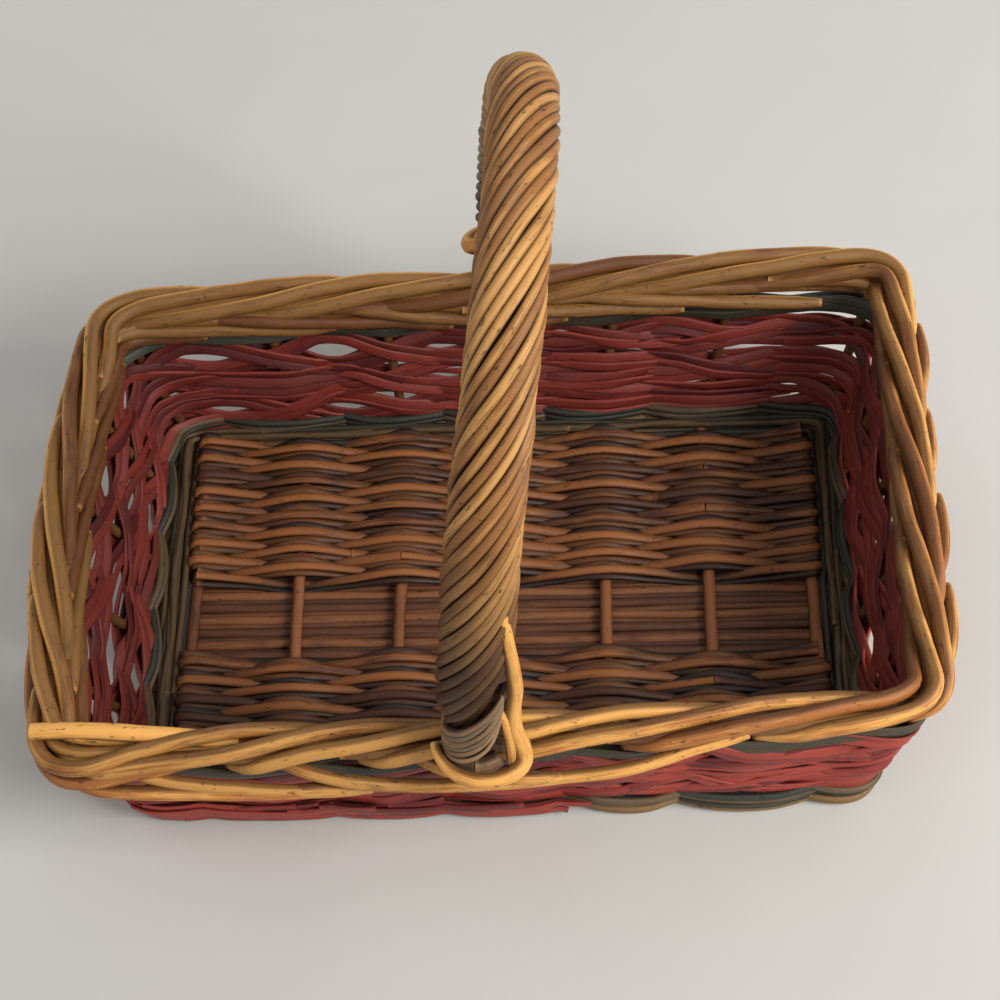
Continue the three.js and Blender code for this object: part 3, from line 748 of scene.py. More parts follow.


# Each finish: its dark, middle, light and odd colours, then odd share, specks, spread, the painted
# shade on the sides that turn inwards, and how far round that painted shade comes
FINISH_TABLE = {
    "border": ((56, 29, 14), (161, 99, 45), (224, 165, 86), (138, 84, 42), 0.08, 0.8, 0.4, 0.75, 0.5),
    "handle": ((42, 22, 11), (144, 95, 47), (192, 142, 80), (138, 92, 48), 0.08, 0.85, 0.3, 1.0, 0.92),
    "bow": ((30, 17, 11), (74, 42, 26), (112, 68, 44), (60, 40, 28), 0.0, 0.6, 0.2, 0.3, 0.35),
    "binding": ((48, 30, 19), (126, 94, 64), (168, 134, 98), (120, 104, 84), 0.3, 0.6, 0.5, 0.9, 0.8),
    "wale": ((34, 26, 18), (88, 66, 40), (140, 108, 66), (58, 58, 48), 0.45, 0.7, 0.5, 0.6, 0.35),
    "red": ((36, 14, 16), (102, 31, 31), (156, 58, 47), (136, 52, 42), 0.16, 0.6, 0.7, 0.5, 0.35),
    "green": ((24, 24, 20), (54, 55, 48), (92, 93, 82), (72, 64, 46), 0.25, 0.6, 0.5, 0.5, 0.35),
    # The foot's colours are darkened in part as painted shade, low in the side.
    "foot": ((26, 22, 16), (66, 56, 42), (112, 92, 64), (52, 56, 50), 0.5, 0.65, 0.6, 0.5, 0.35),
    "base_weaver": ((24, 13, 9), (70, 37, 22), (140, 84, 42), (52, 40, 30), 0.1, 0.75, 0.8, 0.85, 0.75),
    "base_stick": ((32, 18, 12), (84, 47, 28), (128, 78, 46), (72, 50, 34), 0.1, 0.7, 0.5, 0.6, 0.6),
}
FINISHES = {key: finish_group(key, *row) for key, row in FINISH_TABLE.items()}
BasketFinishes = group_class(
    "BasketFinishes",
    {
        key: bpy.props.PointerProperty(type=group, name=key, description=f"{key} willow")
        for key, group in FINISHES.items()
    },
)


class BasketSizes(bpy.types.PropertyGroup):
    """Sizes of the rods, which don't change the basket's own size."""

    border_rod: length_property("Border Rod", "Radius of a rod in the rim", 3.6)
    stake_rod: length_property("Stake", "Radius of a stake in the side", 2.4)
    base_rod: length_property("Base Weaver", "Radius of a weaver in the base", 2.5)
    wale_rod: length_property("Foot Rod", "Radius of a rod at the foot of the side", 1.65)
    red_strap: length_property("Red Strap", "Half the width of a red strap", 2.65)
    green_strap: length_property("Green Strap", "Half the width of a green strap", 2.5)
    handle_strand: length_property("Handle Strand", "Radius of a rod round the handle", 2.45)


class BasketStage(bpy.types.PropertyGroup):
    """Light and floor."""

    floor: colour_property("Floor", "Colour of the floor", (199, 199, 197))
    sky: bpy.props.FloatProperty(
        name="Sky", description="Strength of the even light", min=0, max=2, default=0.62
    )
    lamp: bpy.props.FloatProperty(
        name="Lamp", description="Power of the large lamp", unit="POWER", min=0, default=38
    )


def sizes():
    """The sizes that the panel gives."""
    return bpy.context.scene.basket_sizes


def in_mm(length):
    """A length from the panel, in millimetres."""
    return length / METRE


# The base

BASE_ROD_DEPTH = 0.75  # thickness of a rod's section for its width
SLAT_DEPTH = 0.85
STICK_POINTS = 24
SLAT_POINTS = 40
# Radius, lift, sway and painted shade of the thin rod in a gap between two slats, and of a slat
SLAT_KINDS = ((1.7, 0.6, 0.9, 0.45), (SLAT_RADIUS + 0.35, 0.35, 0.5, 0.1))
# The rods of a base row, as (share of the thick one's radius, share of a row aside, dip, painted shade)
ROW_KINDS = ((1, 0, 0, 0), (0.85, 0.5, 2.9, 0.6), (0.7, -0.5, 1.8, 0.55))
FRONT_WEAVE_ROWS = 13
BACK_WEAVE_ROWS = 17
TURN_POINTS = 3
UNDER_LIFT = 0.4
ASIDE_AT_STICK = 1.6
# Painted shade where a rod passes under a stick, where it dips between two, and where it turns round the
# edge
UNDER_SHADE = 0.85
BETWEEN_SHADE = 0.3
TURN_SHADE = 0.4


def base_sticks(rng):
    """The stout rods from front to back, each in its packed place."""
    rods = Rods()
    for k in range(STICK_COUNT):
        low, high = (np.array(c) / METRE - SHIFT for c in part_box(f"base_stick_{k + 1}"))
        x = (low[0] + high[0]) / 2 + drift(rng, STICK_POINTS, 6, 0.3)
        y = np.linspace(low[1], high[1], STICK_POINTS)
        points = np.column_stack([x, y, np.full(STICK_POINTS, STICK_Z)])
        rods.add(points, STICK_RADIUS + drift(rng, STICK_POINTS, 6, 0.15), (0, 0, 1), rng.random())
    return rods


def base_slats(rng):
    """The loose rods along the middle of the base, each with a thin one in the gap beside it."""
    rods = Rods()
    reach = EDGE_STICK_X + STICK_RADIUS
    x = np.linspace(-reach, reach, SLAT_POINTS)
    for k in range(-1, 2 * SLAT_COUNT + 2):
        radius, lift, sway, shade = SLAT_KINDS[k % 2]
        y = SLAT_EDGE + (k - 1) * SLAT_PITCH / 2 + drift(rng, SLAT_POINTS, 7, sway)
        points = np.column_stack([x, y, np.full(SLAT_POINTS, radius * SLAT_DEPTH + lift)])
        rods.add(points, radius + drift(rng, SLAT_POINTS, 8, 0.2), (0, 0, 1), rng.random(), shade)
    return rods


def weave_line(rng, first_y, row_count, step, swing, aside, dip):
    """The way of the rods of the base: over and under the sticks, and round the edge sticks.

    aside and dip move it along the sticks and down between them, for the thinner rods."""
    line, faces, shades = [], [], []
    for row in range(row_count):
        y = first_y + row * step
        to_right = 1 if row % 2 == 0 else -1
        for k in range(STICK_COUNT):
            over = (row + k) % 2 == 0
            x = to_right * (k * STICK_PITCH - EDGE_STICK_X)
            z = STICK_Z + (swing if over else UNDER_LIFT - swing)
            line.append((x, y + aside * ASIDE_AT_STICK + rng.uniform(-0.4, 0.4), z))
            faces.append((0, 0, to_right))
            # Painted shade where the rod passes under a stick.
            shades.append(0.0 if over else UNDER_SHADE)
            if k < STICK_COUNT - 1:
                middle = x + to_right * STICK_PITCH / 2
                z = STICK_Z - dip + rng.uniform(-0.5, 0.5)
                line.append((middle, y + aside + rng.uniform(-0.6, 0.6), z))
                faces.append((0, 0, to_right))
                shades.append(BETWEEN_SHADE)
        if row == row_count - 1:
            break
        for part in range(1, TURN_POINTS + 1):
            on = part / (TURN_POINTS + 1)
            angle = on * math.pi
            near = np.array((to_right * math.sin(angle), 0, to_right * math.cos(angle)))
            edge = np.array((to_right * EDGE_STICK_X, y + aside + on * step, STICK_Z))
            line.append(edge + near * swing)
            faces.append(near)
            shades.append(TURN_SHADE)
    return np.array(line, float), np.array(faces, float), np.array(shades)


def base_weave(rng, first_y, row_count, packed_rows):
    """Thick rods row by row, each for a row or two, with thin ones in the gaps between them."""
    rods = Rods()
    step = (packed_rows - 1) * ROW_STEP / (row_count - 1)
    per_row = 2 * STICK_COUNT - 1 + TURN_POINTS
    for share, aside, dip, extra in ROW_KINDS:
        radius = in_mm(sizes().base_rod) * share
        swing = STICK_RADIUS + radius * BASE_ROD_DEPTH
        line, faces, shades = weave_line(rng, first_y, row_count, step, swing, aside * step, dip)
        # Rods end under a stick, where the next one starts beside them.
        start = 0
        while start < len(line) - 3:
            end = min(start + int(per_row * rng.uniform(0.7, 2.0)), len(line) - 1)
            if len(line) - end < per_row // 2:
                end = len(line) - 1
            part = slice(start, end + 1)
            taper = np.linspace(1.08, 0.84, end - start + 1)
            if rng.random() < 0.5:
                taper = taper[::-1]
            # The thin rods in the gaps carry more painted shade.
            shade = np.minimum(shades[part] + extra, 1)
            rods.add(line[part], radius * taper, faces[part], rng.random(), shade)
            start = end
    return rods


# The side

# The rows lie lower at the back and the front left than at the front right, as [stakes round, share].
SAG = [
    [0, 0.9],
    [2, 0.7],
    [4, -0.3],
    [6, -0.8],
    [8.5, 0.2],
    [11, 1],
    [17, 1],
    [19.5, 0.7],
    [22, 0.9],
]
SAG_DEPTH = 5.0
SAG_FADE = 14  # height over which the sag sets in, above the foot
# How far the couples of straps part between two stakes, as [stakes round, share of the row's half height]
OPENNESS = [
    [0, 0.9],
    [3, 1.05],
    [6, 1.0],
    [9, 0.9],
    [11, 0.65],
    [13.5, 0.65],
    [15, 0.95],
    [17, 1.05],
    [20, 1.15],
    [22, 0.9],
]
FOOT_TOP = 8
FOOT_LIFT = 0.45
# The foot's rods lie deeper where the low straps cover them, as [stakes round, share].
FOOT_TUCK = 2.6
TUCKED = [[0, 0], [0.4, 0], [0.9, 1], [4.3, 1], [4.9, 0]]
# Rods that fill the corner between the base and the side, as (outwards, height)
FOOT_PACKING = ((-7.5, 5.0), (-5.5, 8.5), (-8.5, 9.0), (-11.0, 4.5))
PACKING_PARTS = 3
PACKING_OVERLAP = 0.8
# Painted shade on them, deep in that corner
PACKING_SHADE = 0.75
# Where a strand is read between two stakes, in steps from the second one
STRAND_STEPS = np.array([-0.5, -0.36, -0.22, -0.1, 0, 0.1, 0.22, 0.36])
STRAND_STAKES = (5, 10)  # how many stakes a length passes, under the second number
STRAND_LEAST = 3
STRAND_OVERLAP = 0.12
STRAND_SWAY = 0.3
STRAP_TILT = 0.5  # in radians
STRAP_TIP = 0.97  # under 1, so that a strap's way bends softly at a stake
ROD_HUG = 0.7  # under 1, so that a rod hugs a stake
SWAP_CHANCE = 0.75
STRAND_PITCH = 0.97
COUPLE_OUT = 0.45
# Each strap low at the front left: from and to, in stakes round, and its height at both
LOW_STRAPS = (
    (-0.15, 1.7, 17, 7),
    (-0.15, 1.6, 12, 14),
    (-0.1, 2.1, 6.2, 14.5),
    (-0.1, 1.2, 9, 8),
    (0, 1.8, 20, 12),
    (0.2, 1.5, 15, 20),
    (0.3, 2.4, 6.4, 6),
    (0.4, 2.6, 6, 16),
    (0.8, 2.9, 15, 6.2),
    (0.9, 2.2, 19, 9),
    (1.1, 3.4, 16.5, 10),
    (1.2, 2.4, 10, 10),
    (1.4, 3, 20, 13),
    (1.6, 3.5, 6.5, 14),
    (1.8, 3.6, 6.2, 8),
    (2, 3.2, 18, 12),
    (2.2, 3.7, 14, 6.2),
    (2.5, 3.8, 9, 16),
    (2.7, 3.9, 9, 18),
    (-0.1, 1.3, 13, 22),
    (-0.3, 1.1, 15, 12),
    (-0.3, 1.4, 19, 17),
    (-0.3, 1.0, 11, 9),
    (0.1, 1.6, 22, 16),
    (0.5, 2.0, 12, 22),
    (1.2, 2.6, 14, 21),
    (2.1, 3.3, 13, 20),
)
LOW_STRAP_OUT = (4.3, 5.1)
LOW_STRAP_INNER = 1.6  # how much deeper every other one lies
LOW_STRAP_SWING = 1.8


def sag(u, z):
    """How far a row at height z lies off its level: most at a third of the way up, none at the edges."""
    height = clamped(z / PLAIT_Z)
    clear = clamped((z - FOOT_TOP) / SAG_FADE)
    return -SAG_DEPTH * at_stake(SAG, u) * clear * math.sin(math.pi * height**0.65)


def strand(rods, rng, z, way, partner, radius, shift, levels, shade, flat):
    """One strand that twines round the whole basket, in a few lengths that meet between two stakes.

    way is how far it swings outwards at a stake and between two. shift moves it up and outwards in
    its bundle. levels is its height halfway to each next stake, with straight runs between them."""
    swing, swing_between = way
    place = int(rng.integers(0, STAKES))
    last = place + STAKES
    while place < last:
        length = min(int(rng.integers(*STRAND_STAKES)), last - place)
        if last - place - length < STRAND_LEAST:
            length = last - place
        inner = [place + k + 1 + STRAND_STEPS for k in range(length)]
        us = np.concatenate([*inner, [place + length + 0.5]])
        us[0] -= STRAND_OVERLAP
        us[-1] += STRAND_OVERLAP
        ups = drift(rng, len(us), length + 2, STRAND_SWAY)
        tilts = drift(rng, len(us), length + 1, STRAP_TILT if flat else 0.0)
        points, faces = [], []
        for u, up_by, tilt in zip(us, ups, tilts):
            turn = math.pi * (u + partner)
            near, between = math.cos(turn), math.sin(turn)
            # A strap runs straight from stake to stake, and a rod hugs each stake.
            if flat:
                near = math.asin(STRAP_TIP * near) / math.asin(STRAP_TIP)
            else:
                near = math.copysign(abs(near) ** ROD_HUG, near)
            at = z + sag(u, z)
            out, up = side_frame(round(u, 3), at)
            gap = math.floor(u - 0.5)
            on = clamped((u - 0.5 - gap - 0.1) / 0.8)
            level = levels[gap % STAKES] * (1 - on) + levels[(gap + 1) % STAKES] * on
            reach = (swing + shift[1]) * near + swing_between * between
            if not flat:
                reach -= FOOT_TUCK * at_stake(TUCKED, u + 1)
            points.append(side_line(u, at) + out * reach + up * (level + shift[0] + up_by))
            faces.append(out * math.cos(tilt) + up * math.sin(tilt))
        count = len(points)
        from_end = np.minimum(np.arange(count), np.arange(count)[::-1])
        taper = np.minimum(1, 0.55 + 0.45 * from_end / 2)
        rods.add(points, radius * taper * rng.uniform(0.88, 1.1), faces, rng.random(), shade)
        place += length


def band_rods(rng, node, partner, couples, radius, depth, loose, shade, flat):
    """The strands of one bundle, in couples that lie side by side and change places between stakes."""
    rods = Rods()
    low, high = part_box(node)
    z = (low.z + high.z) / 2 / METRE + (0 if flat else FOOT_LIFT)
    room = (high.z - low.z) / 2 / METRE
    way = (STAKE_RADIUS + depth + TOUCH, depth)
    above = np.ones(STAKES)
    for k in range(1, STAKES):
        above[k] = -above[k - 1] if rng.random() < SWAP_CHANCE else above[k - 1]
    openness = at_stake(OPENNESS, np.arange(STAKES) + 0.5)
    parting = room * openness * rng.uniform(0.55, 1.1, STAKES) if couples > 1 else 0
    for couple in range(couples):
        side = 1 if couple else -1
        levels = side * above * parting + rng.uniform(-loose, loose, STAKES)
        for k in (-1, 1):
            shift = (k * radius * STRAND_PITCH, side * COUPLE_OUT + rng.uniform(-0.2, 0.2))
            strand(rods, rng, z, way, partner, radius, shift, levels, shade, flat)
    return rods


def low_straps(rng, rods, radius):
    """Loose straps low on the outer side at the front left, over the rods of the foot."""
    for number, (first, last, low, high) in enumerate(LOW_STRAPS):
        us = np.arange(first, last, 0.1)
        ups = drift(rng, len(us), 5, 0.6)
        lies = rng.uniform(*LOW_STRAP_OUT) - (LOW_STRAP_INNER if number % 2 else 0)
        points, faces = [], []
        for u, up_by in zip(us, ups):
            share = (u - first) / (last - first)
            z = low + (high - low) * share + up_by
            u = round(u, 3)
            swing = LOW_STRAP_SWING * abs(math.cos(math.pi * u)) ** ROD_HUG
            points.append(wall(u, z, lies + swing))
            faces.append(side_frame(u, z)[0])
        rods.add(points, radius * rng.uniform(0.9, 1.1), faces, rng.random())


def foot_packing(rng, rods, radius):
    """Slender rods that fill the corner between the base and the side, in painted shade."""
    for out, z in FOOT_PACKING:
        start = rng.integers(0, STAKES)
        for _ in range(PACKING_PARTS):
            us = np.arange(start, start + STAKES / PACKING_PARTS + PACKING_OVERLAP, 0.2)
            ups = drift(rng, len(us), 12, 0.9)
            outs = drift(rng, len(us), 12, 1.1)
            points = [wall(round(u, 3), z + up, out + by) for u, up, by in zip(us, ups, outs)]
            faces = [side_frame(round(u, 3), z)[0] for u in us]
            rods.add(points, radius * rng.uniform(0.85, 1.1), faces, rng.random(), PACKING_SHADE)
            start += STAKES / PACKING_PARTS


# The rim

# The rim stands higher and further out along the back, as [stakes round, share].
RIM_STAND = [
    [0, 0],
    [9.5, 0],
    [11, 1],
    [13, 1],
    [13.7, 0.35],
    [14.3, 0.35],
    [15, 1],
    [17, 1],
    [18.5, 0],
    [22, 0],
]
RIM_STAND_UP = 3.2
RIM_STAND_OUT = 2.2
# The rim's rods get painted shade at the front left, as [stakes round, shade].
RIM_SHADE = [[0, 0.34], [2.4, 0.34], [3.3, 0], [20.8, 0], [22, 0.34]]
NECK_Z = SIDE_TOP_Z - 1  # where the stakes leave the woven side
NECK_GAP = 2
STAKE_POINTS = 9
# Painted shade on a stake's upright part, in the gaps of the woven side
STAKE_SHADE = 0.9
RIM_SAMPLES = 5


def rim_line(number, way, outs, ups):
    """The points and faces of a rod that goes along the rim from a stake, by a way such as RIM_WAY.

    outs and ups move its points, in millimetres."""
    points, faces = [], []
    for (passed, out_share, up_share), out_by, up_by in zip(way, outs, ups):
        u = round(number + passed, 3)
        stand = at_stake(RIM_STAND, u)
        z = PLAIT_Z + (up_share * PLAIT_HALF_HEIGHT + up_by)
        out = out_share * PLAIT_HALF_WIDTH + out_by
        points.append(wall(u, z, out + RIM_STAND_OUT * stand) + (0, 0, RIM_STAND_UP * stand))
        faces.append(side_frame(u, PLAIT_Z)[0])
    return points, faces


def stake_way(number):
    """The way of one stake's end along the rim."""
    passed = RIM_WAY[:, 0]
    if number in LONG_TAILS:
        return through(np.vstack([RIM_WAY[passed < LONG_TAIL_FROM], LONG_TAILS[number]]), RIM_SAMPLES)
    if number == WIDE_TURN:
        before, after = passed < WIDE_REACH[0], passed > WIDE_REACH[1]
        return through(np.vstack([RIM_WAY[before], WIDE_WAY, RIM_WAY[after]]), RIM_SAMPLES)
    makes_room = (number + RIM_STAKES) % STAKES in (*HANDLE_STAKES, *CORNERS)
    last = RIM_STAKES - 0.2 if makes_room else passed[-1]
    if number in SHORT_TAILS:
        last = SHORT_TAIL
    way = through(RIM_WAY, RIM_SAMPLES)
    return way[way[:, 0] <= last]


def rim_extras(number):
    """The thinner rods beside one stake's end, as (start, way, share of the radius, painted shade)."""
    in_front = number in FRONT_NUMBERS
    # The fill lies in painted shade inside the rim, deeper at the front.
    extras = [(0.5, RIM_FILL, 0.86, 0.8 if in_front else 0.55)]
    if number in SKIRTED:
        extras.append((0.0, RIM_SKIRT, 0.92, 0.0))
    if not in_front:
        extras.append((0.0, RIM_LINING, 0.85, 0.1))
    if number >= CORNERS[2]:
        extras.append((0.3, HANGING_LINING, 0.9, 0.05))
    if number == 0:
        extras += [(0.0, CORNER_ROD, 0.98, 0.0), (0.0, CORNER_FILL, 1.0, 0.15)]
    return extras


def stake_rods(rng, numbers):
    """Stakes with their ends laid along the rim, and the thinner rods beside those."""
    rods = Rods()
    border = in_mm(sizes().border_rod)
    stake = in_mm(sizes().stake_rod)
    for number in numbers:
        way = stake_way(number)
        passed = way[:, 0]
        rises = np.linspace(STICK_Z - STICK_RADIUS, NECK_Z - NECK_GAP, STAKE_POINTS)
        outs = drift(rng, len(way), 6, 0.9)
        ups = drift(rng, len(way), 6, 0.6)
        fade = np.minimum(1, passed / 0.4)
        bent, bent_faces = rim_line(number, way, outs * fade, ups * fade)
        points = [wall(number, z) for z in rises] + bent
        faces = [side_frame(number, z)[0] for z in rises] + bent_faces
        grown = np.minimum(1, passed / 0.25)
        thick = stake + (border * (1.04 - 0.03 * passed) - stake) * grown
        radius = np.append(np.full(STAKE_POINTS, stake), thick)
        radius[-2:] *= (0.9, 0.7)
        # Only the upright part gets the stake's painted shade, and not a long tail that comes down as low;
        # the rest gets the rim's painted shade.
        along = np.append(np.zeros(STAKE_POINTS), passed)
        upright = (np.array([p[2] for p in points]) < NECK_Z) & (along < 0.5)
        turned = np.append(np.zeros(STAKE_POINTS), at_stake(RIM_SHADE, number + passed))
        rods.add(points, radius, faces, rng.random(), np.where(upright, STAKE_SHADE, turned))
        if number == 0:
            rods.add(CAP_ROD, border * 1.06, (0, 0, 1), 0.85)
            # The corner plug lies in painted shade.
            rods.add(CORNER_PLUG, border * 1.1, (0, 0, 1), rng.random(), 0.5)
        for start, line, share, dark in rim_extras(number):
            line = through(line, 4)
            outs, ups = drift(rng, len(line), 5, 0.7), drift(rng, len(line), 5, 0.7)
            points, faces = rim_line(number + start, line, outs, ups)
            ends = np.ones(len(line))
            ends[:2], ends[-2:] = (0.6, 0.85), (0.85, 0.6)
            rods.add(points, border * share * ends, faces, rng.random(), dark)
    return rods


# The handle

BINDING_STEP = 2 * BINDING_RADIUS + TURN_GAP
BINDING_LOW = RIM_TOP + TOUCH + BINDING_RADIUS + BINDING_LIFT
BINDING_HIGH = BINDING_LOW + BINDING_TURNS * BINDING_STEP
WRAP_LOW = BINDING_HIGH + BINDING_RADIUS + WRAP_LIFT
WRAP_UNDER = 3  # how far the strands reach under the lashing
ARCH_SAMPLES = 2000
FOOT_STEPS = 200
LEG_STEPS = 80  # how many of them are one leg
WRAP_POINTS = 150
WRAP_BANDS = 4
BOW_POINTS = 60
# The ends of the strands tuck in: how deep, and over how many hundredths of the way
TUCK_DEPTH = 3.5
TUCK_SHARE = 4
# The strands darken towards the lashing, partly for stains and partly as painted shade: at the lashing, the
# height over which it fades, and the most of it
WRAP_STAIN_AND_SHADE = 1.4
WRAP_STAIN_AND_SHADE_RISE = 80
WRAP_STAIN_AND_SHADE_MOST = 0.85
# The lashing at the foot: strips that spring from one place on the right, like the strands above them,
# and fan out to the left, from the lowest to the highest, then return behind the foot one over the other.
STRIPS = 6
STRIP_RADIUS = 2.05
STRIP_LIFT = 0.4
STRIP_POINTS = 74
FAN_LEFT = (100.5, 115)
FAN_RIGHT = (137, 148)
FAN_BEHIND = (103.5, 119)
FAN_TURNS = (185, 316)
FAN_START = -30
FAN_RETURN = 70
FAN_SUNK = 2.6
FAN_SUNK_TURNS = (190, 245)
FAN_THIN = 0.62
FAN_THIN_TURNS = (200, 290)
# Painted shade on the strips as they go round behind the foot, growing over these turns
FAN_SHADE = 0.15
FAN_SHADE_TURNS = (180, 300)
# Past its last turn a strip dives under the foot: after how many degrees, over how many, and how deep
DIVE_AFTER = 4
DIVE_TURN = 16
DIVE_DEPTH = 4
# The strands sink over the lashing, and leave a hollow there.
HOLLOW_TURNS = (145, 328)
HOLLOW_GAP = (0.5, 8.5)
HOLLOW_DEPTH = 4.5
HOLLOW_FADE = 4
# The rod that comes down beside the foot and turns in front of it: degrees round, height above the rim,
# outwards
LOOP_WAY = [
    (-43, 96, -2.6),
    (-38, 84, -0.6),
    (-29, 66, 0.8),
    (-22, 50, 1.2),
    (-24, 36, 0.6),
    (-27, 24, 1.4),
    (-26, 12, 4.6),
    (-34, 6, 7.4),
    (-52, 4.8, 7.2),
    (-85, 4.6, 5),
    (-128, 4.8, 2.7),
    (-166, 5.4, 0.8),
]
LOOP_RADII = (2.0, 2.8, 3.3, 3.8, 3.8, 3.5, 3.0, 2.0)
# The one at the back rises less past its first millimetres, and lies closer where it stands high.
BACK_LOOP_LOW = 5
BACK_LOOP_RISE = 0.2
BACK_LOOP_HIGH = 20
BACK_LOOP_IN = 2
# A second, thinner one beside it, and a rod in deep painted shade for the dark hollow, with the bow's cut
# end, the same way
SIDE_WAY = [(-42, 40, -3.5), (-38, 32, -0.8), (-36, 22, 0.6), (-37, 13, 1.8), (-40, 5, 2.8)]
SIDE_RADII = (1.2, 2.0, 2.4, 2.4, 2.2)
HOLLOW_WAY = [(-172, 2.5, -3.5), (-140, 2.3, -3.8), (-108, 2.2, -4), (-86, 2.2, -4)]
PEG_WAY = [(-90, 2.6, -3.6), (-75, 2.7, -3.4), (-60, 2.8, -3.2), (-46, 3, -3)]


@functools.lru_cache(maxsize=None)
def foot_places():
    """Where the handle's middle line meets the rim, at the front and at the back."""
    return tuple(wall(u, PLAIT_Z, FOOT_OUT) for u in LEG_PLACES)


def arch(t):
    """A point of the handle's middle line, from the front foot at 0 to the back one at 1."""
    angle = math.pi * t
    power = 2 / ARCH_SQUARE
    cosine = math.cos(angle)
    across = (1 - math.copysign(abs(cosine) ** power, cosine)) / 2
    up = max(math.sin(angle), 0) ** power
    front, back = foot_places()
    x, y = (front[k] + (back[k] - front[k]) * across for k in (0, 1))
    return np.array((x + ARCH_LEAN * up**ARCH_LEAN_POWER, y, PLAIT_Z + ARCH_RISE * up))


@functools.lru_cache(maxsize=None)
def arch_points(from_z, steps):
    """Evenly spaced points of the arch between two heights above its feet."""
    every = np.array([arch(i / ARCH_SAMPLES) for i in range(ARCH_SAMPLES + 1)])
    first = int(np.argmax(every[:, 2] >= from_z))
    used = every[first : len(every) - first]
    lengths = np.concatenate([[0], np.cumsum(np.linalg.norm(np.diff(used, axis=0), axis=1))])
    wanted = np.linspace(0, lengths[-1], steps + 1)
    return np.column_stack([np.interp(wanted, lengths, used[:, k]) for k in range(3)])


def arch_frames(points):
    """Directions square to the arch: towards the right, and its partner."""
    frames = []
    for i in range(len(points)):
        along = unit(points[min(i + 1, len(points) - 1)] - points[max(i - 1, 0)])
        side = unit(np.array((1, 0, 0)) - along * along[0])
        frames.append((side, np.cross(along, side)))
    return frames


def handle_radius(z):
    """The radius over the strands, which is smaller at the top."""
    share = np.clip((z - PLAIT_Z) / ARCH_RISE, 0, 1)
    return HANDLE_FOOT_RADIUS + (HANDLE_TOP_RADIUS - HANDLE_FOOT_RADIUS) * share


def fan_height(turn, share):
    """The height of a strip of the lashing, turn degrees round the foot, from 0 for the lowest to 1."""
    first, last = FAN_TURNS
    left, right, behind = (low + (high - low) * share for low, high in (FAN_LEFT, FAN_RIGHT, FAN_BEHIND))
    if turn < first:
        return left + (behind - left) * eased(min((first - turn) / FAN_RETURN, 1))
    # The lowest strips rise late, and the highest evenly.
    on = min((turn - first) / (last - first), 1)
    return left + (right - left) * (on * share + (0.55 * on + 0.45 * on**7) * (1 - share))


def handle_strands(rng, band):
    """One band of the strands that twist round the bow."""
    rods = Rods()
    points = arch_points(WRAP_LOW - WRAP_UNDER, WRAP_POINTS)
    frames = arch_frames(points)
    radius = in_mm(sizes().handle_strand)
    per_band = STRANDS // WRAP_BANDS
    for number in range(band * per_band, (band + 1) * per_band):
        start = 2 * math.pi * (number + 0.5) / STRANDS - math.pi / 4
        sway = drift(rng, WRAP_POINTS + 1, 12, 0.035)
        lift = drift(rng, WRAP_POINTS + 1, 16, 0.35)
        line, faces = [], []
        for i, (point, (side, other)) in enumerate(zip(points, frames)):
            angle = start + 2 * math.pi * WRAP_TURNS * i / WRAP_POINTS + sway[i]
            from_end = min(i, WRAP_POINTS - i) / WRAP_POINTS * 100
            tuck = TUCK_DEPTH * max(0, 1 - from_end / TUCK_SHARE)
            turn = math.degrees(angle) % 360
            if i < WRAP_POINTS / 3 and HOLLOW_TURNS[0] < turn < HOLLOW_TURNS[1]:
                gap = np.interp(turn, FAN_TURNS, HOLLOW_GAP)
                sunk = 1 - clamped((point[2] - fan_height(turn, 1) - gap) / HOLLOW_FADE)
                tuck = max(tuck, HOLLOW_DEPTH * eased(sunk))
            out = side * math.cos(angle) + other * math.sin(angle)
            line.append(point + out * (handle_radius(point[2]) - radius + lift[i] - tuck))
            faces.append(out)
        thick = radius * (1 + drift(rng, WRAP_POINTS + 1, 6, 0.07)) * rng.uniform(0.94, 1.06)
        # Darker towards the lashing: partly stain, partly painted shade.
        shade = WRAP_STAIN_AND_SHADE - (points[:, 2] - WRAP_LOW) / WRAP_STAIN_AND_SHADE_RISE
        rods.add(line, thick, faces, rng.random(), np.clip(shade, 0, WRAP_STAIN_AND_SHADE_MOST))
    return rods


def bow_rods(rng):
    """The bow inside the strands, with its ends pushed down beside the stakes."""
    rods = Rods()
    leg_out = BORDER_RADIUS + TOUCH + LEG_RADIUS
    front, back = (
        [
            (wall(u, STICK_Z + STICK_RADIUS), LEG_RADIUS * LEG_TIP),
            (wall(u, SIDE_TOP_Z), LEG_RADIUS),
            (wall(u, PLAIT_Z - PLAIT_HALF_HEIGHT, leg_out), LEG_RADIUS),
            (wall(u, RIM_TOP + TOUCH, leg_out), LEG_RADIUS),
        ]
        for u in LEG_PLACES
    )
    core = [(p, handle_radius(p[2]) - CORE_DEPTH) for p in arch_points(BINDING_LOW, BOW_POINTS)]
    points, radii = zip(*front, *core, *back[::-1])
    rods.add(points, radii, (1, 0, 0), rng.random())
    return rods


def round_foot(back, turn, z, outwards):
    """A place beside the handle's foot, turn degrees round it from the right, and the way outwards."""
    over = arch_points(RIM_TOP, FOOT_STEPS)
    leg = over[::-1][:LEG_STEPS] if back else over[:LEG_STEPS]
    middle = np.array([np.interp(z, leg[:, 2], leg[:, k]) for k in (0, 1)] + [z])
    side = -1 if back else 1
    angle = math.radians(turn)
    out = np.array((side * math.cos(angle), side * math.sin(angle), 0))
    return middle + out * (handle_radius(z) + outwards), out


def round_foot_rod(rods, way, back, radii, tone, shade=0.0):
    """Adds a rod that goes by (degrees round the foot, height above the rim, outwards)."""
    way = through(way, 5)
    points, faces = zip(*(round_foot(back, turn, RIM_TOP + rise, out) for turn, rise, out in way))
    radius = np.interp(np.linspace(0, 1, len(points)), np.linspace(0, 1, len(radii)), radii)
    rods.add(points, radius, faces, tone, shade)


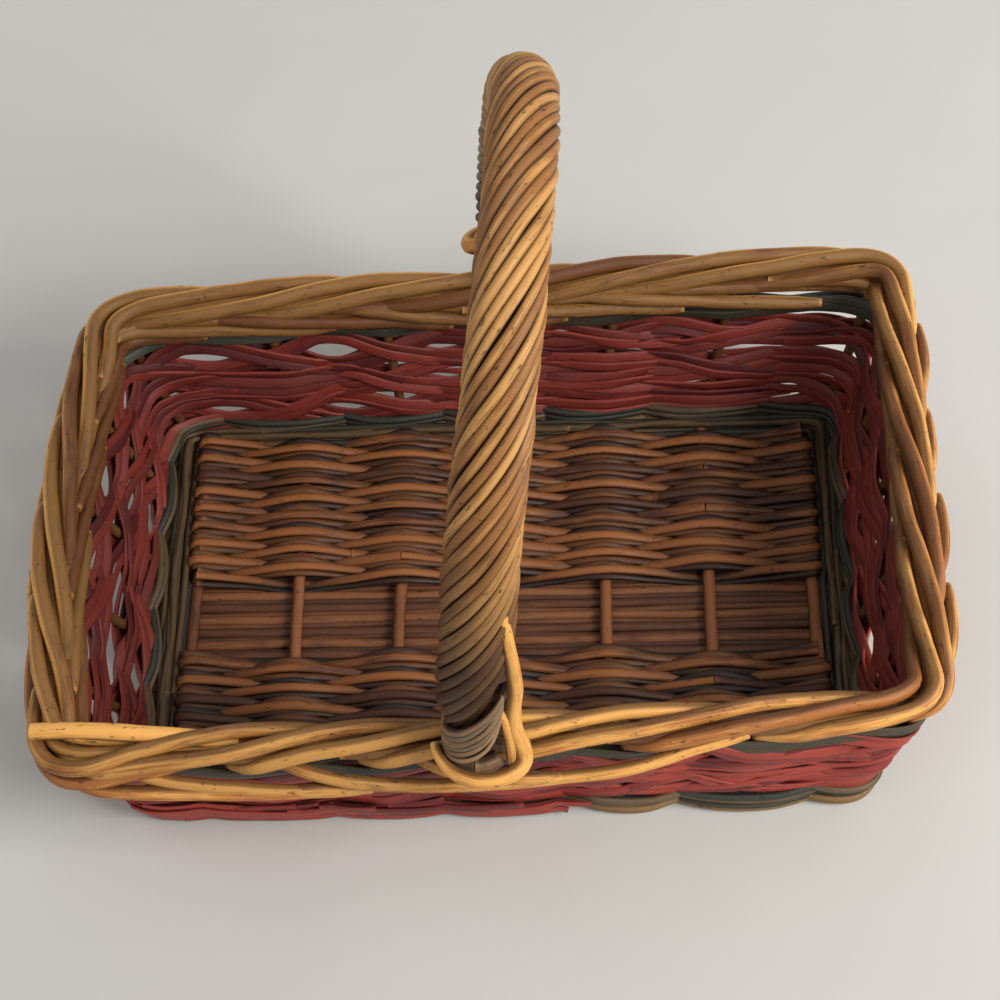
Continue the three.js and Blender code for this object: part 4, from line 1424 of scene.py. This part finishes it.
def lashing_rods(rng, back):
    """The strips round one foot, and in front a rod in painted shade for the hollow, and the bow's cut end
    under them.
    """
    rods = Rods()
    last = FAN_TURNS[1]
    for number in range(STRIPS):
        share = number / (STRIPS - 1)
        turns = np.linspace(FAN_START, last + DIVE_AFTER + DIVE_TURN + 2, STRIP_POINTS)
        reaches = drift(rng, STRIP_POINTS, 9, 0.3)
        points, faces = [], []
        for turn, by in zip(turns, reaches):
            dive = DIVE_DEPTH * clamped((turn - last - DIVE_AFTER) / DIVE_TURN)
            sunk = FAN_SUNK * np.interp(turn, FAN_SUNK_TURNS, (1, 0))
            reach = STRIP_LIFT - STRIP_RADIUS + by - dive - sunk
            point, out = round_foot(back, turn, fan_height(turn, share), reach)
            points.append(point)
            faces.append(out)
        thick = np.interp(turns, FAN_THIN_TURNS, (1, FAN_THIN)) * rng.uniform(0.88, 1.08)
        shade = np.interp(turns, FAN_SHADE_TURNS, (0, FAN_SHADE))
        rods.add(points, STRIP_RADIUS * thick, faces, rng.random(), shade)
    if not back:
        # The hollow is a rod in deep painted shade.
        round_foot_rod(rods, HOLLOW_WAY, back, (2.6, 3.4, 3.6), 0.6, 0.9)
        round_foot_rod(rods, PEG_WAY, back, (3.8, 3.8), 0.35, 0.35)
    return rods


def loop_rods(rng, back):
    """The rod that hooks round one foot over the rim, and in front a thinner one beside it."""
    rods = Rods()
    way = LOOP_WAY
    if back:
        way = []
        for turn, rise, out in LOOP_WAY:
            rise_here = min(rise, BACK_LOOP_LOW) + max(rise - BACK_LOOP_LOW, 0) * BACK_LOOP_RISE
            way.append((turn, rise_here, out - (BACK_LOOP_IN if rise > BACK_LOOP_HIGH else 0)))
    round_foot_rod(rods, way, back, LOOP_RADII, 0.7)
    if not back:
        # The thinner one gets a little painted shade.
        round_foot_rod(rods, SIDE_WAY, back, SIDE_RADII, rng.random(), 0.1)
    return rods


# Operators


def fresh(seed):
    """Random draws that are the same each time."""
    return np.random.default_rng(seed)


class BASKET_OT_base(bpy.types.Operator):
    """Build the base: sticks, slats under them, and the woven rows"""

    bl_idname = "basket.base"
    bl_label = "Base"

    def execute(self, context):
        look = "base_stick"
        names = [f"base_stick_{k + 1}" for k in range(STICK_COUNT)]
        grow("base_stick_rods", base_sticks(fresh(1)), look, "base_stick_willow", names)
        names = [f"base_slat_{k + 1}" for k in range(SLAT_COUNT)]
        form = {"Depth": SLAT_DEPTH, "Wander": 0.0001}
        grow("base_slat_rods", base_slats(fresh(2)), look, "base_stick_willow", names, **form)
        # The base's rods get painted shade on the sides that look down.
        form = {"Sides": 10, "Depth": BASE_ROD_DEPTH, "Wander": 0.0002, "Face_Up": 1.0}
        for part, edge, rows, packed_rows, seed in (
            ("front", -ROWS_REACH, FRONT_WEAVE_ROWS, FRONT_ROWS, 3),
            ("back", BACK_EDGE, BACK_WEAVE_ROWS, BACK_ROWS, 4),
        ):
            rods = base_weave(fresh(seed), edge, rows, packed_rows)
            nodes = [f"base_weaver_{part}"]
            name = f"base_weave_{part}"
            grow(name, rods, "base_weaver", "base_weaver_willow", nodes, Seed=float(seed), **form)
        return {"FINISHED"}


class BASKET_OT_side_bands(bpy.types.Operator):
    """Weave the side: foot rods, green straps and the red band"""

    bl_idname = "basket.side_bands"
    bl_label = "Side Bands"

    def execute(self, context):
        chosen = sizes()
        wale, green, red = map(in_mm, (chosen.wale_rod, chosen.green_strap, chosen.red_strap))
        rod = {"Sides": 10, "Wander": 0.0003}
        strap = {"Depth": 0.32, "Corner": 0.55, "Wander": 0.0003}
        # Each row: its imported node, its piece, couples of strands, half width, half thickness, looseness,
        # painted shade, finish, slot and form.
        rows = [
            ("foot_wale_", "foot_rods_", 1, wale, 1.9, 0.2, 0.2, "wale", "wale_willow", rod),
            ("lower_green_", "lower_green_rods_", 1, 1.8, 1.6, 1, 0.25, "foot", "green_willow", rod),
            ("upper_green_", "upper_green_straps_", 1, green, 0.8, 1, 0, "green", "green_willow", strap),
        ]
        for k in range(1, RED_ROWS + 1):
            names = (f"red_weaver_{k}", f"red_straps_{k}")
            rows.append((*names, 2, red, 0.5, 1.5, 0, "red", "red_willow", strap))
        seed = 20
        for node, piece, couples, radius, depth, loose, shade, look, slot, form in rows:
            for partner, letter in enumerate("ab"):
                seed += 1
                rng = fresh(seed)
                here = node + letter
                rods = band_rods(rng, here, partner, couples, radius, depth, loose, shade, form is strap)
                if look == "wale":
                    foot_packing(rng, rods, radius)
                if here == "red_weaver_1a":
                    low_straps(rng, rods, radius)
                grow(piece + letter, rods, look, slot, [here], Seed=float(seed), **form)
        return {"FINISHED"}


class BASKET_OT_stakes_and_rim(bpy.types.Operator):
    """Set the stakes and lay their ends along the rim"""

    bl_idname = "basket.stakes_and_rim"
    bl_label = "Stakes and Rim"

    def execute(self, context):
        form = {"Sides": 14, "Step": 0.0025, "Depth": 0.94}
        for side, name in enumerate(("front", "right", "back", "left")):
            first, last = (*CORNERS, STAKES)[side : side + 2]
            nodes = [f"corner_post_{CORNER_NAMES[side]}"]
            nodes += [f"stake_{k:02d}" for k in range(first + 1, last)]
            rods = stake_rods(fresh(40 + side), range(first, last))
            grow(f"rim_rods_{name}", rods, "border", "border_willow", nodes, Seed=float(side), **form)
        return {"FINISHED"}


class BASKET_OT_handle(bpy.types.Operator):
    """Bend the bow, twist the strands round it and lash its feet"""

    bl_idname = "basket.handle"
    bl_label = "Handle"

    def execute(self, context):
        grow("bow_rod", bow_rods(fresh(50)), "bow", "bow_willow", ["handle_bow"], Sides=16, Wander=0.0)
        form = {"Sides": 12, "Step": 0.0035, "Wander": 0.0002, "Unevenness": 0.12}
        for band in range(WRAP_BANDS):
            rods = handle_strands(fresh(51 + band), band)
            nodes = [f"handle_wrap_{band + 1}"]
            name = f"handle_strands_{band + 1}"
            grow(name, rods, "handle", "handle_willow", nodes, Seed=float(band), **form)
        for back, foot in enumerate(("front", "back")):
            rods = lashing_rods(fresh(60 + back), back == 1)
            nodes = [f"foot_binding_{foot}"]
            grow(f"foot_lashing_{foot}", rods, "binding", "binding_willow", nodes, Step=0.002)
            rods = loop_rods(fresh(62 + back), back == 1)
            nodes = [f"foot_loop_{foot}"]
            grow(f"foot_loop_rod_{foot}", rods, "border", "handle_willow", nodes, Sides=14, Step=0.002)
        return {"FINISHED"}


# The stage, in metres

FLOOR_REACH = 6.0
FLOOR_SPOT = (0.12, 0.11, 0.1, 1)
FLOOR_SPOTS = 0.04
# Painted shade on the floor, deeper towards the viewer, between these two places
FLOOR_DARKENS = (-0.05, -0.42)
FLOOR_DARKEST = 0.22
SKY_TINT = (1.0, 0.98, 0.95, 1)
LAMP_TINT = (1.0, 0.96, 0.9)
LAMP_SIZE = 0.9
LAMP_PLACE = (1.35, -0.7, 1.35)
LAMP_AIM = (0, 0, 0.05)
CAMERA_PLACE = (0.041, -0.5863, 0.9769)  # from the middle of the base
CAMERA_ANGLES = (56.4, -3.8, -4.2)  # degrees down, to the right and rolled
CAMERA_LENS = 86.4


def set_floor(scene, stage):
    """A wide plain floor, with painted shade that makes it a little darker towards the viewer."""
    mesh = bpy.data.meshes.new("floor")
    corners = [(x * FLOOR_REACH, y * FLOOR_REACH, 0) for x, y in ((-1, -1), (1, -1), (1, 1), (-1, 1))]
    mesh.from_pydata(corners, [], [(0, 1, 2, 3)])
    floor = bpy.data.objects.new("floor", mesh)
    scene.collection.objects.link(floor)
    material = bpy.data.materials.new("Floor Paint")
    material.use_nodes = True
    w = Wiring(material.node_tree)
    shader = material.node_tree.nodes["Principled BSDF"]
    where = w.add("ShaderNodeTexCoord").outputs["Object"]
    cloud = w.first("ShaderNodeTexNoise", {"Vector": where, "Scale": 7.0, "Detail": 3.0})
    # Painted shade towards the viewer, added to the floor's faint spots.
    nearer = w.ramp(w.axes(where)[1], *FLOOR_DARKENS, 0.0, FLOOR_DARKEST)
    shade = w.math("ADD", w.ramp(cloud, 0.3, 0.7, 0.0, FLOOR_SPOTS), nearer)
    w.join(w.mix(shade, (*stage.floor, 1), FLOOR_SPOT), shader.inputs["Base Color"])
    shader.inputs["Roughness"].default_value = 0.9
    shader.inputs["Specular IOR Level"].default_value = 0.2
    mesh.materials.append(material)


def set_light(scene, stage):
    """Even light from all round, and one large soft lamp at the right."""
    world = bpy.data.worlds.new("Studio")
    world.use_nodes = True
    scene.world = world
    w = Wiring(world.node_tree)
    world.node_tree.nodes.clear()
    even = w.first("ShaderNodeBackground", {"Color": SKY_TINT, "Strength": stage.sky})
    seen = w.first("ShaderNodeBackground", {"Color": (*stage.floor, 1), "Strength": 1.0})
    camera_ray = w.add("ShaderNodeLightPath").outputs["Is Camera Ray"]
    both = w.first("ShaderNodeMixShader", {0: camera_ray, 1: even, 2: seen})
    w.add("ShaderNodeOutputWorld", {"Surface": both})
    lamp = bpy.data.lights.new("window", "AREA")
    lamp.shape = "DISK"
    lamp.size = LAMP_SIZE
    lamp.energy = stage.lamp
    lamp.color = LAMP_TINT
    window = bpy.data.objects.new("window", lamp)
    scene.collection.objects.link(window)
    window.location = LAMP_PLACE
    window.rotation_euler = (Vector(LAMP_AIM) - Vector(LAMP_PLACE)).to_track_quat("-Z", "Y").to_euler()


def set_camera(scene):
    """The camera at the photograph's viewing angle."""
    lens = bpy.data.cameras.new("camera")
    lens.sensor_width = 36
    lens.lens = CAMERA_LENS
    lens.clip_start = 0.05
    lens.clip_end = 50
    camera = bpy.data.objects.new("camera", lens)
    scene.collection.objects.link(camera)
    pitch, yaw, roll = (math.radians(a) for a in CAMERA_ANGLES)
    ahead = math.cos(pitch)
    forward = Vector((math.sin(yaw) * ahead, math.cos(yaw) * ahead, -math.sin(pitch)))
    right = forward.cross(Vector((0, 0, 1))).normalized()
    up = right.cross(forward)
    rolled_right = right * math.cos(roll) + up * math.sin(roll)
    rolled_up = up * math.cos(roll) - right * math.sin(roll)
    place = Vector(SHIFT) * METRE + Vector(CAMERA_PLACE)
    rows = [(rolled_right[k], rolled_up[k], -forward[k], place[k]) for k in range(3)]
    camera.matrix_world = Matrix([*rows, (0, 0, 0, 1)])
    scene.camera = camera


class BASKET_OT_stage(bpy.types.Operator):
    """Set the floor, the light and the camera"""

    bl_idname = "basket.stage"
    bl_label = "Stage"

    def execute(self, context):
        scene = context.scene
        scene.view_settings.view_transform = "Standard"
        set_floor(scene, scene.basket_stage)
        set_light(scene, scene.basket_stage)
        set_camera(scene)
        return {"FINISHED"}


# The panel


class BASKET_PT_panel(bpy.types.Panel):
    """Lists the basket's pieces, sizes and colours"""

    bl_idname = "BASKET_PT_panel"
    bl_label = "Wicker Basket"
    bl_space_type = "VIEW_3D"
    bl_region_type = "UI"
    bl_category = "Basket"

    def draw(self, context):
        layout = self.layout
        for step in STEPS:
            layout.operator(step.bl_idname)
        for settings in (context.scene.basket_sizes, context.scene.basket_stage):
            column = layout.column()
            for key in settings.__annotations__:
                column.prop(settings, key)
        for key in FINISHES:
            column = layout.column()
            column.label(text=key)
            finish = getattr(context.scene.basket_finishes, key)
            for field in finish.__annotations__:
                column.prop(finish, field)


STEPS = (
    BASKET_OT_base,
    BASKET_OT_side_bands,
    BASKET_OT_stakes_and_rim,
    BASKET_OT_handle,
    BASKET_OT_stage,
)
CLASSES = (*FINISHES.values(), BasketFinishes, BasketSizes, BasketStage, *STEPS, BASKET_PT_panel)
SETTINGS = {
    "basket_finishes": BasketFinishes,
    "basket_sizes": BasketSizes,
    "basket_stage": BasketStage,
}


def register():
    for cls in CLASSES:
        bpy.utils.register_class(cls)
    for key, group in SETTINGS.items():
        setattr(bpy.types.Scene, key, bpy.props.PointerProperty(type=group))


def unregister():
    for key in SETTINGS:
        delattr(bpy.types.Scene, key)
    for cls in reversed(CLASSES):
        bpy.utils.unregister_class(cls)


def main():
    """Builds every piece in turn."""
    register()
    for step in STEPS:
        group, name = step.bl_idname.split(".")
        getattr(getattr(bpy.ops, group), name)()


if __name__ == "__main__":
    main()
